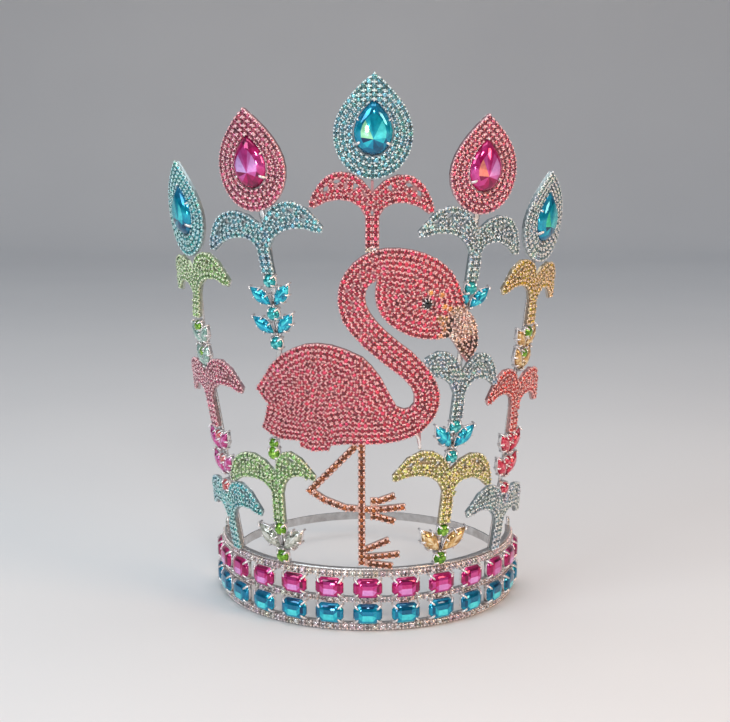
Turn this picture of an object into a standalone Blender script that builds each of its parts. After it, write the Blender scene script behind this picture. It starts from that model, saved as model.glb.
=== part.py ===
"""Rhinestone pageant crown: a two-row stone band, four leaning columns of palm
trees, leaf sprays and teardrops, a centre palm and a wading flamingo.

Sizes are millimetres and angles are degrees until a mesh is written in metres.
+Z is up and the front of the crown faces -Y. Every motif is drawn flat and laid
on the cone that the crown flares out to: "angle" runs round the crown from the
front centre, "height" climbs the slope from the top of the band, and "proud"
stands off the cone along its outward normal.
"""
import math

import bmesh
import bpy
import numpy as np
from mathutils import Matrix, Vector
from mathutils.geometry import delaunay_2d_cdt

MM = 0.001

# Head ring
BAND_INNER = 73.0
BAND_OUTER = 75.2
RAILS = ((0.0, 4.2), (14.7, 17.1), (27.6, 31.5))
BAND_HEIGHT = RAILS[-1][1]
STONE_PITCH = 13.8
STONES_PER_ROW = 13
POST_HALF_ANGLE = 1.7
BAND_END_ANGLE = 90.0
END_PLATE_ANGLE = 87.6

# Back strap
STRAP_HEIGHT = 4.5
STRAP_THICKNESS = 1.0
STRAP_MIDDLE = 14.0
STRAP_HALF_WIDTH = 72.1
STRAP_DEPTH = 77.0
STRAP_LAP_ANGLE = 13.0
STRAP_STEPS = 26

# Cone that the motifs lie on
RIM_RADIUS = 76.0
LEAN = math.radians(8.5)
SEAT_GAP = 0.3
PLATE_BACK = 0.0
PLATE_FRONT = 1.3
STRIP_BACK = -1.9
STRIP_FRONT = -0.7
STRIP_HALF_WIDTH = 1.5
BEND_STEP = 16.0

# Set stones: share of the outline and height above the back of the setting
OCTAGON_WIDTH = 14.0
OCTAGON_HEIGHT = 10.0
OCTAGON_CORNER = 2.8
OCTAGON_LEVELS = ((0.80, 0.0), (0.96, 1.4), (1.0, 2.3), (0.80, 3.7), (0.58, 4.2))
PINK_ROW = 22.35
BLUE_ROW = 9.45
ROUND_SIZE = 6.0
LEAF_LENGTH = 13.4
LEAF_WIDTH = 6.4
SPRAY_BACK = -1.3
LEAF_OFFSET = 0.6
SPRAY_LEVELS = ((1.0, 0.0), (1.0, 2.9), (0.55, 4.0))
PEAR_WIDTH = 17.2
PEAR_HEIGHT = 24.6
PEAR_RISE = 10.3
PEAR_GAP = 0.36
PEAR_BACK = -0.5
PEAR_LEVELS = ((0.72, 0.0), (1.0, 1.1), (1.0, 3.1), (0.80, 4.8), (0.52, 5.6))

# Teardrop frame
TEAR_WIDTH = 34.8
TEAR_HEIGHT = 46.4
TEAR_SHOULDER = 0.422
TEAR_CURVE = 1.95

# Palm tree, drawn from its fork: control points of a frond's two edges
TRUNK_HALF_WIDTH = 3.1
TRUNK_TOP = -10.8
FROND_OUTER = ((6.5, 11.0), (22.0, 15.0), (29.4, -5.2))
FROND_UNDER = ((6.0, -2.2), (18.0, -1.4), (27.2, -8.2))
FROND_STEPS = 5
# across, up, half length, half width, direction of each gap in the right frond
FROND_GAPS = (
    (7.6, 3.0, 2.3, 1.2, 125.0),
    (16.6, 4.4, 1.8, 1.1, 165.0),
    (21.6, 0.9, 1.8, 1.1, 130.0),
)
TRUNK_GAP = (0.0, -9.2, 1.3, 0.8, 90.0)

PINK = (0.80, 0.16, 0.32)
FUCHSIA = (0.86, 0.04, 0.36)
AQUA = (0.04, 0.52, 0.72)
SKY = (0.42, 0.68, 0.78)
GREEN = (0.42, 0.72, 0.34)
CHARTREUSE = (0.66, 0.72, 0.26)
GOLD = (0.78, 0.66, 0.18)
ROSE = (0.66, 0.30, 0.40)
RED = (0.78, 0.14, 0.16)
AMBER = (0.62, 0.30, 0.10)
SILVER = (0.78, 0.77, 0.76)

# column: (height, angle) of the line that it climbs
COLUMNS = {
    "far_left": ((0.0, -57.0), (30.0, -58.6), (60.0, -59.2), (100.0, -61.2), (116.0, -61.2),
                 (145.0, -58.0), (190.0, -57.0)),
    "left": ((0.0, -32.0), (62.0, -31.2), (112.0, -26.6), (160.0, -27.4), (190.0, -29.8)),
    "centre": ((0.0, 1.1), (190.0, 1.1)),
    "right": ((0.0, 26.6), (62.0, 27.8), (112.0, 28.6), (160.0, 29.0), (190.0, 30.4)),
    "far_right": ((0.0, 55.0), (50.0, 55.3), (85.0, 53.6), (100.0, 55.0), (113.0, 55.6),
                  (145.0, 55.0), (190.0, 54.5)),
}
# column: height at which its strip ends, behind the foot of the teardrop
STRIP_TOPS = {"far_left": 152.5, "left": 180.0, "right": 178.0, "far_right": 150.5}

# name, column, fork height, foot height, stem, (reach, turn) of the left and right frond, colour
PALMS = (
    ("palm_far_left_low", "far_left", 27.2, 0.4, 0.0, (0.9, 3.0), (0.9, 8.0), SKY),
    ("palm_far_left_middle", "far_left", 89.9, 64.6, 0.0, (0.95, 8.0), (1.03, 7.0), ROSE),
    ("palm_far_left_high", "far_left", 142.8, 120.0, 0.0, (0.95, 8.0), (0.98, 7.0), GREEN),
    ("palm_left_low", "left", 47.5, 21.8, 0.0, (1.1, 3.5), (0.68, 17.0), GREEN),
    ("palm_left_high", "left", 168.4, 146.2, 0.0, (1.15, 10.0), (0.99, 10.5), SKY),
    ("palm_centre", "centre", 184.2, 159.2, 5.4, (0.95, -1.7), (0.96, -4.0), PINK),
    ("palm_right_low", "right", 49.6, 22.2, 0.0, (0.96, -9.0), (0.93, -9.0), CHARTREUSE),
    ("palm_right_middle", "right", 98.4, 75.4, 0.0, (0.84, -11.0), (0.74, -2.0), SKY),
    ("palm_right_high", "right", 166.0, 142.6, 0.0, (0.97, -11.0), (0.93, -11.5), SKY),
    ("palm_far_right_low", "far_right", 25.4, 0.4, 0.0, (0.88, -12.0), (0.92, -7.0), SKY),
    ("palm_far_right_middle", "far_right", 87.4, 63.0, 0.0, (0.76, -1.0), (0.95, -10.0), RED),
    ("palm_far_right_high", "far_right", 140.6, 117.6, 0.0, (0.86, -4.0), (0.9, -12.0), GOLD),
)
# palm: steps of crest and underside and gaps kept where the left frond stops at the neck
CUT_SHORT = {"palm_right_middle": (4, 3, 2)}

# column, angle and height of the foot, turn, share of full height, frame and stone colours
TEARDROPS = (
    ("far_left", -58.8, 150.8, -1.5, 0.98, SKY, AQUA),
    ("left", -29.2, 175.0, 2.0, 1.0, ROSE, FUCHSIA),
    ("centre", 1.1, 190.4, -1.0, 1.0, SKY, AQUA),
    ("right", 30.2, 173.6, 2.4, 0.97, ROSE, FUCHSIA),
    ("far_right", 56.2, 148.4, 4.0, 0.93, SKY, AQUA),
)

# column, height of the centre, share of the full size
ROUNDS = (
    ("far_left", 33.4, 1.0),
    ("far_left", 47.4, 0.8),
    ("far_left", 59.8, 0.8),
    ("far_left", 102.0, 0.8),
    ("far_left", 115.2, 0.9),
    ("left", 3.9, 1.05),
    ("left", 18.1, 1.0),
    ("left", 57.4, 1.0),
    ("left", 62.3, 0.8),
    ("left", 112.9, 1.0),
    ("left", 127.0, 1.0),
    ("left", 142.6, 1.0),
    ("right", 3.9, 1.05),
    ("right", 18.4, 1.0),
    ("right", 56.3, 1.0),
    ("right", 71.6, 1.0),
    ("right", 139.0, 1.0),
    ("far_right", 33.0, 1.0),
    ("far_right", 47.4, 0.8),
    ("far_right", 59.4, 0.8),
    ("far_right", 102.6, 0.8),
    ("far_right", 113.3, 0.9),
)

# column, height of the foot, lean of the left and right leaf from upright, share of full size
LEAVES = (
    ("far_left", 39.6, 28.0, 33.0, 0.88),
    ("far_left", 51.9, 28.0, 33.0, 0.88),
    ("far_left", 94.0, 20.0, 16.0, 0.84),
    ("far_left", 105.8, 26.0, 33.0, 0.84),
    ("left", 7.4, 45.0, 47.0, 1.1),
    ("left", 117.0, 54.0, 40.0, 0.92),
    ("left", 130.6, 52.0, 38.0, 0.92),
    ("right", 7.4, 42.0, 48.0, 1.1),
    ("right", 60.8, 38.0, 44.0, 0.95),
    ("right", 129.2, None, 46.0, 0.92),
    ("right", 130.2, 9.0, None, 0.6),
    ("far_right", 39.2, 33.0, 26.0, 0.88),
    ("far_right", 51.4, 33.0, 26.0, 0.88),
    ("far_right", 94.2, 16.0, 20.0, 0.84),
    ("far_right", 105.2, 33.0, 26.0, 0.84),
)


# across, up: the flamingo's edge, from the tail along the back, up the neck and over the head
FLAMINGO_BACK = (
    (-46.5, 102.1), (-40.7, 107.7), (-34.4, 111.3), (-29.0, 113.3), (-23.0, 114.0),
    (-16.5, 113.4), (-10.0, 111.4), (-2.2, 107.8), (1.7, 103.8), (5.9, 98.1), (11.0, 88.0),
    (13.3, 83.7), (16.9, 82.2), (19.4, 82.8), (21.3, 85.0), (21.4, 88.9), (19.8, 93.0),
    (16.4, 97.1), (5.5, 106.2), (-2.1, 113.0), (-7.7, 119.3), (-11.3, 124.8),
)
FLAMINGO_CROWN = (
    (-12.8, 129.5), (-13.5, 134.5), (-13.3, 139.2), (-12.2, 143.6), (-10.0, 147.9),
    (-6.5, 152.2), (-2.4, 155.5), (2.6, 158.0), (8.0, 159.0), (14.0, 159.0), (20.0, 158.1),
    (25.8, 156.4), (31.3, 153.7), (35.3, 150.8), (38.6, 147.5), (41.5, 142.8), (43.8, 137.4),
    (45.0, 132.6),
)
FLAMINGO_BEAK = (
    (46.4, 129.4), (50.4, 125.6), (52.3, 120.6), (53.2, 115.4), (52.8, 110.9), (50.6, 106.3),
    (47.6, 103.2), (44.2, 107.4), (40.9, 112.6), (38.0, 116.2),
)
FLAMINGO_CHIN = (
    (31.5, 115.6), (25.5, 116.1), (19.7, 117.5), (14.2, 120.2), (9.4, 123.8), (5.9, 127.8),
    (3.9, 132.1), (3.2, 136.4), (3.4, 140.8), (4.0, 144.0),
)
FLAMINGO_THROAT = (
    (0.8, 142.2), (-0.7, 139.4), (-1.1, 136.2), (-0.6, 132.6), (1.2, 128.8), (4.2, 124.6),
    (8.7, 119.8), (14.4, 114.7), (20.1, 110.2), (25.0, 105.0), (29.2, 99.7), (32.3, 94.2),
    (33.7, 88.9), (33.5, 83.6), (31.9, 78.7), (28.9, 74.4), (24.8, 70.6),
)
FLAMINGO_TIE = ((25.0, 62.6), (24.0, 62.4), (22.6, 69.4))
FLAMINGO_BELLY = (
    (20.2, 68.2), (14.6, 66.5), (7.6, 65.5), (-0.5, 65.1), (-10.6, 65.1), (-16.9, 64.0),
    (-18.0, 61.4), (-25.6, 60.8), (-31.9, 62.4), (-32.2, 65.4), (-40.9, 65.5), (-47.4, 67.2),
    (-52.6, 69.8), (-50.0, 77.1), (-48.6, 82.6), (-51.4, 85.6), (-55.0, 89.6), (-50.8, 95.9),
)

# start across and up, end across and up of each single row of stones in the legs
LEG_WIDTH = 3.1
LEG_ROWS = (
    (-2.8, 64.7, -2.8, 4.4),
    (-6.3, 63.2, -27.2, 40.4),
    (-27.2, 40.4, -20.7, 36.3),
    (-20.7, 36.3, -10.8, 32.6),
    (-10.8, 32.6, 2.8, 31.6),
    (2.8, 36.4, 2.8, 28.2),
    (2.8, 35.2, 11.2, 38.2),
    (2.8, 31.6, 16.0, 32.6),
    (2.8, 28.6, 11.2, 25.8),
    (-2.8, 10.2, 8.6, 15.2),
    (-2.8, 6.8, 13.4, 8.0),
    (-1.6, 3.9, 10.2, 2.2),
)


def clear_scene():
    """Remove whatever the file opened with."""
    for thing in list(bpy.data.objects):
        bpy.data.objects.remove(thing, do_unlink=True)


def make_material(name, colour, roughness, metallic):
    """One Principled finish."""
    material = bpy.data.materials.new(name)
    material.use_nodes = True
    shader = material.node_tree.nodes["Principled BSDF"]
    shader.inputs["Base Color"].default_value = (*colour, 1.0)
    shader.inputs["Roughness"].default_value = roughness
    shader.inputs["Metallic"].default_value = metallic
    return material


def add_node(name, points, faces, colour, roughness=0.22, metallic=0.9):
    """Write a closed mesh, given in millimetres, as one named object in metres."""
    mesh = bpy.data.meshes.new(name)
    mesh.from_pydata([tuple(c * MM for c in point) for point in points], [], faces)
    mesh.materials.append(make_material(name + "_finish", colour, roughness, metallic))
    node = bpy.data.objects.new(name, mesh)
    bpy.context.scene.collection.objects.link(node)
    return node


def surface_radius(height):
    """Distance from the ring's axis to the cone at a slope height."""
    return RIM_RADIUS + height * math.sin(LEAN)


def column_angle(column, height):
    """Angle of a column's line at a slope height."""
    heights, angles = zip(*COLUMNS[column])
    return float(np.interp(height, heights, angles))


def on_cone(angle, height, proud):
    """Point at an angle and slope height, standing proud of the cone."""
    turn = math.radians(angle)
    radius = surface_radius(height) + proud * math.cos(LEAN)
    rise = BAND_HEIGHT + height * math.cos(LEAN) - proud * math.sin(LEAN)
    return Vector((radius * math.sin(turn), -radius * math.cos(turn), rise))


def laid(point, angle, height, proud):
    """Lay a flat point on the cone: its first value along the arc, its second up the slope."""
    level = height + point[1]
    return on_cone(angle + math.degrees(point[0] / surface_radius(level)), level, proud)


def turned(point, degrees):
    """Turn a flat point anticlockwise about the drawing's origin."""
    c = math.cos(math.radians(degrees))
    s = math.sin(math.radians(degrees))
    return (point[0] * c - point[1] * s, point[0] * s + point[1] * c)


def flat_sheet(shapes, gaps):
    """Triangles that fill flat shapes around their gaps, divided wherever the sheet has to bend."""
    loops = list(shapes) + list(gaps)
    points = [Vector(point) for loop in loops for point in loop]
    faces = []
    for loop in loops:
        start = faces[-1][-1] + 1 if faces else 0
        faces.append(list(range(start, start + len(loop))))
    left, right = min(p.x for p in points), max(p.x for p in points)
    low, high = min(p.y for p in points) - 1.0, max(p.y for p in points) + 1.0
    bends = []
    for k in range(math.floor(left / BEND_STEP), math.ceil(right / BEND_STEP)):
        across = (k + 0.5) * BEND_STEP
        if left < across < right:
            bends.append((len(points), len(points) + 1))
            points += [Vector((across, low)), Vector((across, high))]
    filled = delaunay_2d_cdt(points, bends, faces, 1, 1e-4)
    triangles = [face for face, sources in zip(filled[2], filled[5])
                 if sources and max(sources) < len(shapes)]
    used = sorted({index for triangle in triangles for index in triangle})
    order = {old: new for new, old in enumerate(used)}
    sheet = bmesh.new()
    verts = [sheet.verts.new((filled[0][old].x, filled[0][old].y, 0.0)) for old in used]
    for triangle in triangles:
        sheet.faces.new([verts[order[index]] for index in triangle])
    return sheet


def row_shapes(rows, width):
    """Four-cornered outlines of straight rows of one width."""
    shapes = []
    for x0, y0, x1, y1 in rows:
        along = Vector((x1 - x0, y1 - y0)).normalized() * width / 2.0
        side = Vector((along.y, -along.x))
        start = Vector((x0, y0))
        end = Vector((x1, y1)) + along
        shapes.append([start + side, end + side, end - side, start - side])
    return shapes


def bent_plate(name, shapes, gaps, angle, height, colour, back=PLATE_BACK, front=PLATE_FRONT):
    """A plate of even thickness, cut to flat shapes and laid on the cone."""
    sheet = flat_sheet(shapes, gaps)
    sheet.verts.index_update()
    flat = [(vert.co.x, vert.co.y) for vert in sheet.verts]
    count = len(flat)
    points = [laid(point, angle, height, back) for point in flat]
    points += [laid(point, angle, height, front) for point in flat]
    faces = []
    for face in sheet.faces:
        ring = [vert.index for vert in face.verts]
        faces.append([i + count for i in ring])
        faces.append(ring[::-1])
    for edge in sheet.edges:
        if edge.is_boundary:
            loop = edge.link_loops[0]
            i = loop.vert.index
            j = loop.link_loop_next.vert.index
            faces.append([i, j, j + count])
            faces.append([i, j + count, i + count])
    sheet.free()
    return add_node(name, points, faces, colour)


def stone_solid(outline, levels, origin, across, up, out):
    """Points and faces of a cut stone in its cup: the outline shrunk or kept at each level."""
    points = []
    for share, rise in levels:
        for x, y in outline:
            points.append(origin + across * (x * share) + up * (y * share) + out * rise)
    sides = len(outline)
    faces = [list(range(sides))[::-1]]
    for level in range(len(levels) - 1):
        low = level * sides
        for k in range(sides):
            step = (k + 1) % sides
            faces.append([low + k, low + step, low + sides + step, low + sides + k])
    top = (len(levels) - 1) * sides
    faces.append([top + k for k in range(sides)])
    return points, faces


def cone_axes(angle, height, turn):
    """Across, up and outward directions of a flat piece lying on the cone."""
    a = math.radians(angle)
    across = Vector((math.cos(a), math.sin(a), 0.0))
    up = Vector((math.sin(a) * math.sin(LEAN), -math.cos(a) * math.sin(LEAN), math.cos(LEAN)))
    out = across.cross(up)
    c = math.cos(math.radians(turn))
    s = math.sin(math.radians(turn))
    return across * c + up * s, up * c - across * s, out


def octagon_outline(width, height, corner):
    """Rectangle with its corners cut, anticlockwise."""
    x = width / 2.0
    y = height / 2.0
    c = corner
    return [(x, c - y), (x, y - c), (x - c, y), (c - x, y),
            (-x, y - c), (-x, c - y), (c - x, -y), (x - c, -y)]


def round_outline(size, sides=8):
    """Regular outline of a round stone."""
    angles = [math.tau * (k + 0.5) / sides for k in range(sides)]
    return [(0.5 * size * math.cos(a), 0.5 * size * math.sin(a)) for a in angles]


def leaf_outline(length, width, steps=4):
    """Pointed oval that stands upright on the drawing's origin."""
    right = [(0.5 * width * math.sin(math.pi * k / steps), length * (k / steps - 0.5))
             for k in range(steps + 1)]
    left = [(-x, y) for x, y in right[1:-1]]
    return right + left[::-1]


def teardrop_outline(width, height, steps):
    """Half an ellipse below the shoulder and a rounded gable up to the tip."""
    shoulder = TEAR_SHOULDER * height
    gable = height - shoulder
    right = []
    for k in range(steps + 1):
        share = k / steps
        right.append((0.5 * width * (1.0 - share ** TEAR_CURVE), shoulder + gable * share))
    left = [(-x, y) for x, y in right[:-1]]
    foot = []
    for k in range(1, 2 * steps):
        a = math.pi * (1.0 + k / (2 * steps))
        foot.append((0.5 * width * math.cos(a), shoulder + shoulder * math.sin(a)))
    return right + left[::-1] + foot


def bezier(start, first, second, end, steps):
    """Points along a cubic curve, without its start."""
    points = []
    for k in range(1, steps + 1):
        t = k / steps
        w = ((1 - t) ** 3, 3 * t * (1 - t) ** 2, 3 * t * t * (1 - t), t ** 3)
        controls = (start, first, second, end)
        points.append(tuple(sum(w[i] * controls[i][axis] for i in range(4)) for axis in (0, 1)))
    return points


def slot(across, up, half_length, half_width, direction):
    """Four-cornered gap between stones."""
    corners = ((half_length, 0.0), (0.0, half_width), (-half_length, 0.0), (0.0, -half_width))
    return [(across + x, up + y) for x, y in (turned(corner, direction) for corner in corners)]


def palm_drawing(foot, foot_offset, stem, left, right, kept):
    """Outline and gaps of a palm about its fork; each frond has its own reach and turn."""
    def frond(side, reach, turn):
        outer = [turned((side * reach * x, y), turn) for x, y in FROND_OUTER]
        under = [turned((side * reach * x, y), turn) for x, y in FROND_UNDER]
        neck = (side * TRUNK_HALF_WIDTH, TRUNK_TOP)
        return bezier((0.0, 0.0), *outer, FROND_STEPS), [neck] + bezier(neck, *under, FROND_STEPS)

    crest_kept, under_kept, gaps_kept = kept
    right_crest, right_under = frond(1.0, *right)
    left_crest, left_under = frond(-1.0, *left)
    left_crest = left_crest[:crest_kept]
    left_under = left_under[:under_kept + 1]
    outline = [(foot_offset + TRUNK_HALF_WIDTH, foot)] + right_under + right_crest[::-1]
    if stem:
        outline += [(0.6, 0.9), (0.6, stem), (-0.6, stem), (-0.6, 0.9)]
    else:
        outline += [(0.0, 0.0)]
    outline += left_crest + left_under[::-1] + [(foot_offset - TRUNK_HALF_WIDTH, foot)]
    gaps = [slot(*TRUNK_GAP)]
    for side, (reach, turn), count in ((1.0, right, len(FROND_GAPS)), (-1.0, left, gaps_kept)):
        for across, up, half_length, half_width, direction in FROND_GAPS[:count]:
            lean = direction if side > 0.0 else 180.0 - direction
            gap = slot(side * reach * across, up, half_length, half_width, lean)
            gaps.append([turned(point, turn) for point in gap])
    return outline, gaps


def make_band():
    """Three rails joined by a post behind each pair of stones, as one soldered lattice."""
    half_row = (STONES_PER_ROW - 1) // 2
    stops = [-BAND_END_ANGLE, -END_PLATE_ANGLE]
    solid = [True]
    for k in range(-half_row, half_row + 1):
        stops.append(k * STONE_PITCH - POST_HALF_ANGLE)
        solid.append(False)
        stops.append(k * STONE_PITCH + POST_HALF_ANGLE)
        solid.append(True)
        if k < half_row:
            stops.append((k + 0.5) * STONE_PITCH)
            solid.append(False)
    stops += [END_PLATE_ANGLE, BAND_END_ANGLE]
    solid += [False, True]
    levels = [level for rail in RAILS for level in rail]
    last_column = len(stops) - 2
    last_row = len(levels) - 2

    def filled(column, row):
        if column < 0 or row < 0 or column > last_column or row > last_row:
            return False
        return row % 2 == 0 or solid[column]

    points = []
    for radius in (BAND_INNER, BAND_OUTER):
        for stop in stops:
            a = math.radians(stop)
            points += [(radius * math.sin(a), -radius * math.cos(a), level) for level in levels]
    rows = len(levels)
    outer = len(stops) * rows
    faces = []
    used = set()
    for i in range(last_column + 1):
        for j in range(last_row + 1):
            if not filled(i, j):
                continue
            a, b = i * rows + j, (i + 1) * rows + j
            c, d = b + 1, a + 1
            cell = [[a + outer, b + outer, c + outer, d + outer], [a, d, c, b]]
            if not filled(i, j - 1):
                cell.append([a, b, b + outer, a + outer])
            if not filled(i, j + 1):
                cell.append([d + outer, c + outer, c, d])
            if not filled(i - 1, j):
                cell.append([a, a + outer, d + outer, d])
            if not filled(i + 1, j):
                cell.append([b + outer, b, c, c + outer])
            faces += cell
            used.update(index for face in cell for index in face)
    order = {old: new for new, old in enumerate(sorted(used))}
    points = [points[old] for old in sorted(used)]
    faces = [[order[index] for index in face] for face in faces]
    add_node("band_frame", points, faces, SILVER)


def make_strap():
    """Plain strip round the back of the head, its ends lapped inside the band."""
    span = 180.0 + 2.0 * STRAP_LAP_ANGLE
    half = STRAP_THICKNESS / 2.0
    low = STRAP_MIDDLE - STRAP_HEIGHT / 2.0
    high = STRAP_MIDDLE + STRAP_HEIGHT / 2.0
    points = []
    for k in range(STRAP_STEPS + 1):
        a = math.radians(span * k / STRAP_STEPS - STRAP_LAP_ANGLE)
        depth = STRAP_DEPTH if math.sin(a) > 0.0 else STRAP_HALF_WIDTH
        middle = Vector((STRAP_HALF_WIDTH * math.cos(a), depth * math.sin(a), 0.0))
        normal = Vector((math.cos(a), math.sin(a), 0.0))
        for side, level in ((-half, low), (half, low), (half, high), (-half, high)):
            points.append(middle + normal * side + Vector((0.0, 0.0, level)))
    faces = [[0, 1, 2, 3]]
    for k in range(STRAP_STEPS):
        for edge in range(4):
            a = 4 * k + edge
            b = 4 * k + (edge + 1) % 4
            faces.append([a, a + 4, b + 4, b])
    last = 4 * STRAP_STEPS
    faces.append([last + 3, last + 2, last + 1, last])
    add_node("back_strap", points, faces, SILVER)


def make_octagons():
    """Two rows of step-cut octagons in cups, one in front of each post."""
    outline = octagon_outline(OCTAGON_WIDTH, OCTAGON_HEIGHT, OCTAGON_CORNER)
    up = Vector((0.0, 0.0, 1.0))
    for row, level, colour in (("pink", PINK_ROW, FUCHSIA), ("blue", BLUE_ROW, AQUA)):
        for k in range(STONES_PER_ROW):
            a = math.radians((k - (STONES_PER_ROW - 1) / 2) * STONE_PITCH)
            across = Vector((math.cos(a), math.sin(a), 0.0))
            out = Vector((math.sin(a), -math.cos(a), 0.0))
            origin = out * (BAND_OUTER + SEAT_GAP) + up * level
            points, faces = stone_solid(outline, OCTAGON_LEVELS, origin, across, up, out)
            add_node(f"octagon_{row}_{k + 1:02d}", points, faces, colour, 0.08, 0.2)


def fuse(node, others):
    """Join solids that touch the node into its one body, and drop them."""
    for other in others:
        modifier = node.modifiers.new("join", "BOOLEAN")
        modifier.operation = "UNION"
        modifier.solver = "EXACT"
        modifier.object = other
    graph = bpy.context.evaluated_depsgraph_get()
    joined = bpy.data.meshes.new_from_object(node.evaluated_get(graph))
    node.modifiers.clear()
    node.data = joined
    for other in others:
        bpy.data.objects.remove(other, do_unlink=True)


def make_upright(column):
    """A bent strip from the band to the teardrop, with its round and leaf stones soldered on."""
    top = STRIP_TOPS[column]
    heights = [SEAT_GAP] + [h for h, angle in COLUMNS[column] if SEAT_GAP < h < top] + [top]
    start = column_angle(column, 0.0)
    right = []
    left = []
    for height in heights:
        across = math.radians(column_angle(column, height) - start) * surface_radius(height)
        right.append((across + STRIP_HALF_WIDTH, height))
        left.append((across - STRIP_HALF_WIDTH, height))
    strip = bent_plate(f"upright_{column}", [right + left[::-1]], (), start, 0.0, SILVER,
                       STRIP_BACK, STRIP_FRONT)
    stones = []
    for where, height, share in ROUNDS:
        if where == column:
            angle = column_angle(column, height)
            axes = cone_axes(angle, height, 0.0)
            outline = round_outline(ROUND_SIZE * share)
            origin = on_cone(angle, height, SPRAY_BACK)
            stones.append(stone_solid(outline, SPRAY_LEVELS, origin, *axes))
    for where, height, left_lean, right_lean, share in LEAVES:
        for side, lean in ((-1.0, left_lean), (1.0, right_lean)):
            if where != column or lean is None:
                continue
            angle = column_angle(column, height)
            angle += side * math.degrees(LEAF_OFFSET / surface_radius(height))
            axes = cone_axes(angle, height, -side * lean)
            outline = leaf_outline(LEAF_LENGTH * share, LEAF_WIDTH * share)
            middle = axes[1] * (0.5 * LEAF_LENGTH * share)
            origin = on_cone(angle, height, SPRAY_BACK) + middle
            stones.append(stone_solid(outline, SPRAY_LEVELS, origin, *axes))
    nodes = [add_node(f"stone_{k}", points, faces, SILVER)
             for k, (points, faces) in enumerate(stones)]
    fuse(strip, nodes)


def make_palms():
    """Palm trees cut from plate, each pierced between its rows of stones."""
    whole = (FROND_STEPS, FROND_STEPS, len(FROND_GAPS))
    for name, column, fork, foot, stem, left, right, colour in PALMS:
        angle = column_angle(column, fork)
        foot_offset = math.radians(column_angle(column, foot) - angle) * surface_radius(foot)
        kept = CUT_SHORT.get(name, whole)
        outline, gaps = palm_drawing(foot - fork, foot_offset, stem, left, right, kept)
        bent_plate(name, [outline], gaps, angle, fork, colour)


def make_teardrops():
    """Teardrop frames, each with a pear stone in its window."""
    for column, angle, foot, turn, share, frame_colour, stone_colour in TEARDROPS:
        outline = teardrop_outline(TEAR_WIDTH, TEAR_HEIGHT * share, 6)
        rise = PEAR_RISE * share
        window = teardrop_outline(PEAR_WIDTH + 2.0 * PEAR_GAP, PEAR_HEIGHT + 2.0 * PEAR_GAP, 4)
        window = [turned((x, y + rise - PEAR_GAP), turn) for x, y in window]
        outline = [turned(point, turn) for point in outline]
        bent_plate(f"teardrop_{column}", [outline], [window], angle, foot, frame_colour)
        shoulder = TEAR_SHOULDER * PEAR_HEIGHT
        stone = [(x, y - shoulder) for x, y in teardrop_outline(PEAR_WIDTH, PEAR_HEIGHT, 4)]
        across, up = turned((0.0, rise + shoulder), turn)
        turn_in = math.degrees(across / surface_radius(foot + up))
        axes = cone_axes(angle + turn_in, foot + up, turn)
        origin = on_cone(angle + turn_in, foot + up, PEAR_BACK)
        points, faces = stone_solid(stone, PEAR_LEVELS, origin, *axes)
        add_node(f"pear_{column}", points, faces, stone_colour, 0.06, 0.2)


def make_flamingo():
    """The bird's body, neck, head and beak as one plate, and its two legs as another."""
    outline = list(FLAMINGO_BACK + FLAMINGO_CROWN + FLAMINGO_BEAK + FLAMINGO_CHIN
                   + FLAMINGO_THROAT + FLAMINGO_TIE + FLAMINGO_BELLY)[::-1]
    bent_plate("flamingo", [outline], (), 0.0, 0.0, PINK)
    bent_plate("flamingo_legs", row_shapes(LEG_ROWS, LEG_WIDTH), (), 0.0, 0.0, AMBER)


def settle_on_origin():
    """Centre the crown's footprint on the origin."""
    nodes = list(bpy.context.scene.objects)
    corners = [vert.co for node in nodes for vert in node.data.vertices]
    middle = [(min(c[axis] for c in corners) + max(c[axis] for c in corners)) / 2.0
              for axis in (0, 1)]
    for node in nodes:
        node.data.transform(Matrix.Translation((-middle[0], -middle[1], 0.0)))


clear_scene()
make_band()
make_strap()
make_octagons()
for column_name in STRIP_TOPS:
    make_upright(column_name)
make_palms()
make_teardrops()
make_flamingo()
settle_on_origin()
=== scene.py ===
import math

import bpy
import numpy as np
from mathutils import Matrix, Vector


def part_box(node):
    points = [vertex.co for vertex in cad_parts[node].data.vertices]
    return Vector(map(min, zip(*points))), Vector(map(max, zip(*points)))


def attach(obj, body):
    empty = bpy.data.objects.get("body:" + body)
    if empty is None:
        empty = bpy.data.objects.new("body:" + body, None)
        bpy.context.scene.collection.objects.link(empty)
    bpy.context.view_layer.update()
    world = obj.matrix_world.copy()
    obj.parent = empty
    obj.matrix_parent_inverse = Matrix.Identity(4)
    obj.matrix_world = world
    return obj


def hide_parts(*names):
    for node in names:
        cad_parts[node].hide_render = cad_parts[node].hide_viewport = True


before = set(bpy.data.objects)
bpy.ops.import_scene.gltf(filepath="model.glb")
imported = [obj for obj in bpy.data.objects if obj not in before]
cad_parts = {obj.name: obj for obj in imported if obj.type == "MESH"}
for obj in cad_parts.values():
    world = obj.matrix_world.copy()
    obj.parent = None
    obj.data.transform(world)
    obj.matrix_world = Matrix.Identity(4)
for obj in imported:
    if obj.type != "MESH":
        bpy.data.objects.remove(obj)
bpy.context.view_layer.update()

# Floor: a sheet of pale grey paper that lies flat under the crown and curves up
# behind it to a wall, so that no edge shows from the front.
SWEEP_DEPTH = 1.7
SWEEP_RADIUS = 0.5
SWEEP_HEIGHT = 1.4
SWEEP_HALF_WIDTH = 4.0
SWEEP_FRONT = -8.0


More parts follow.
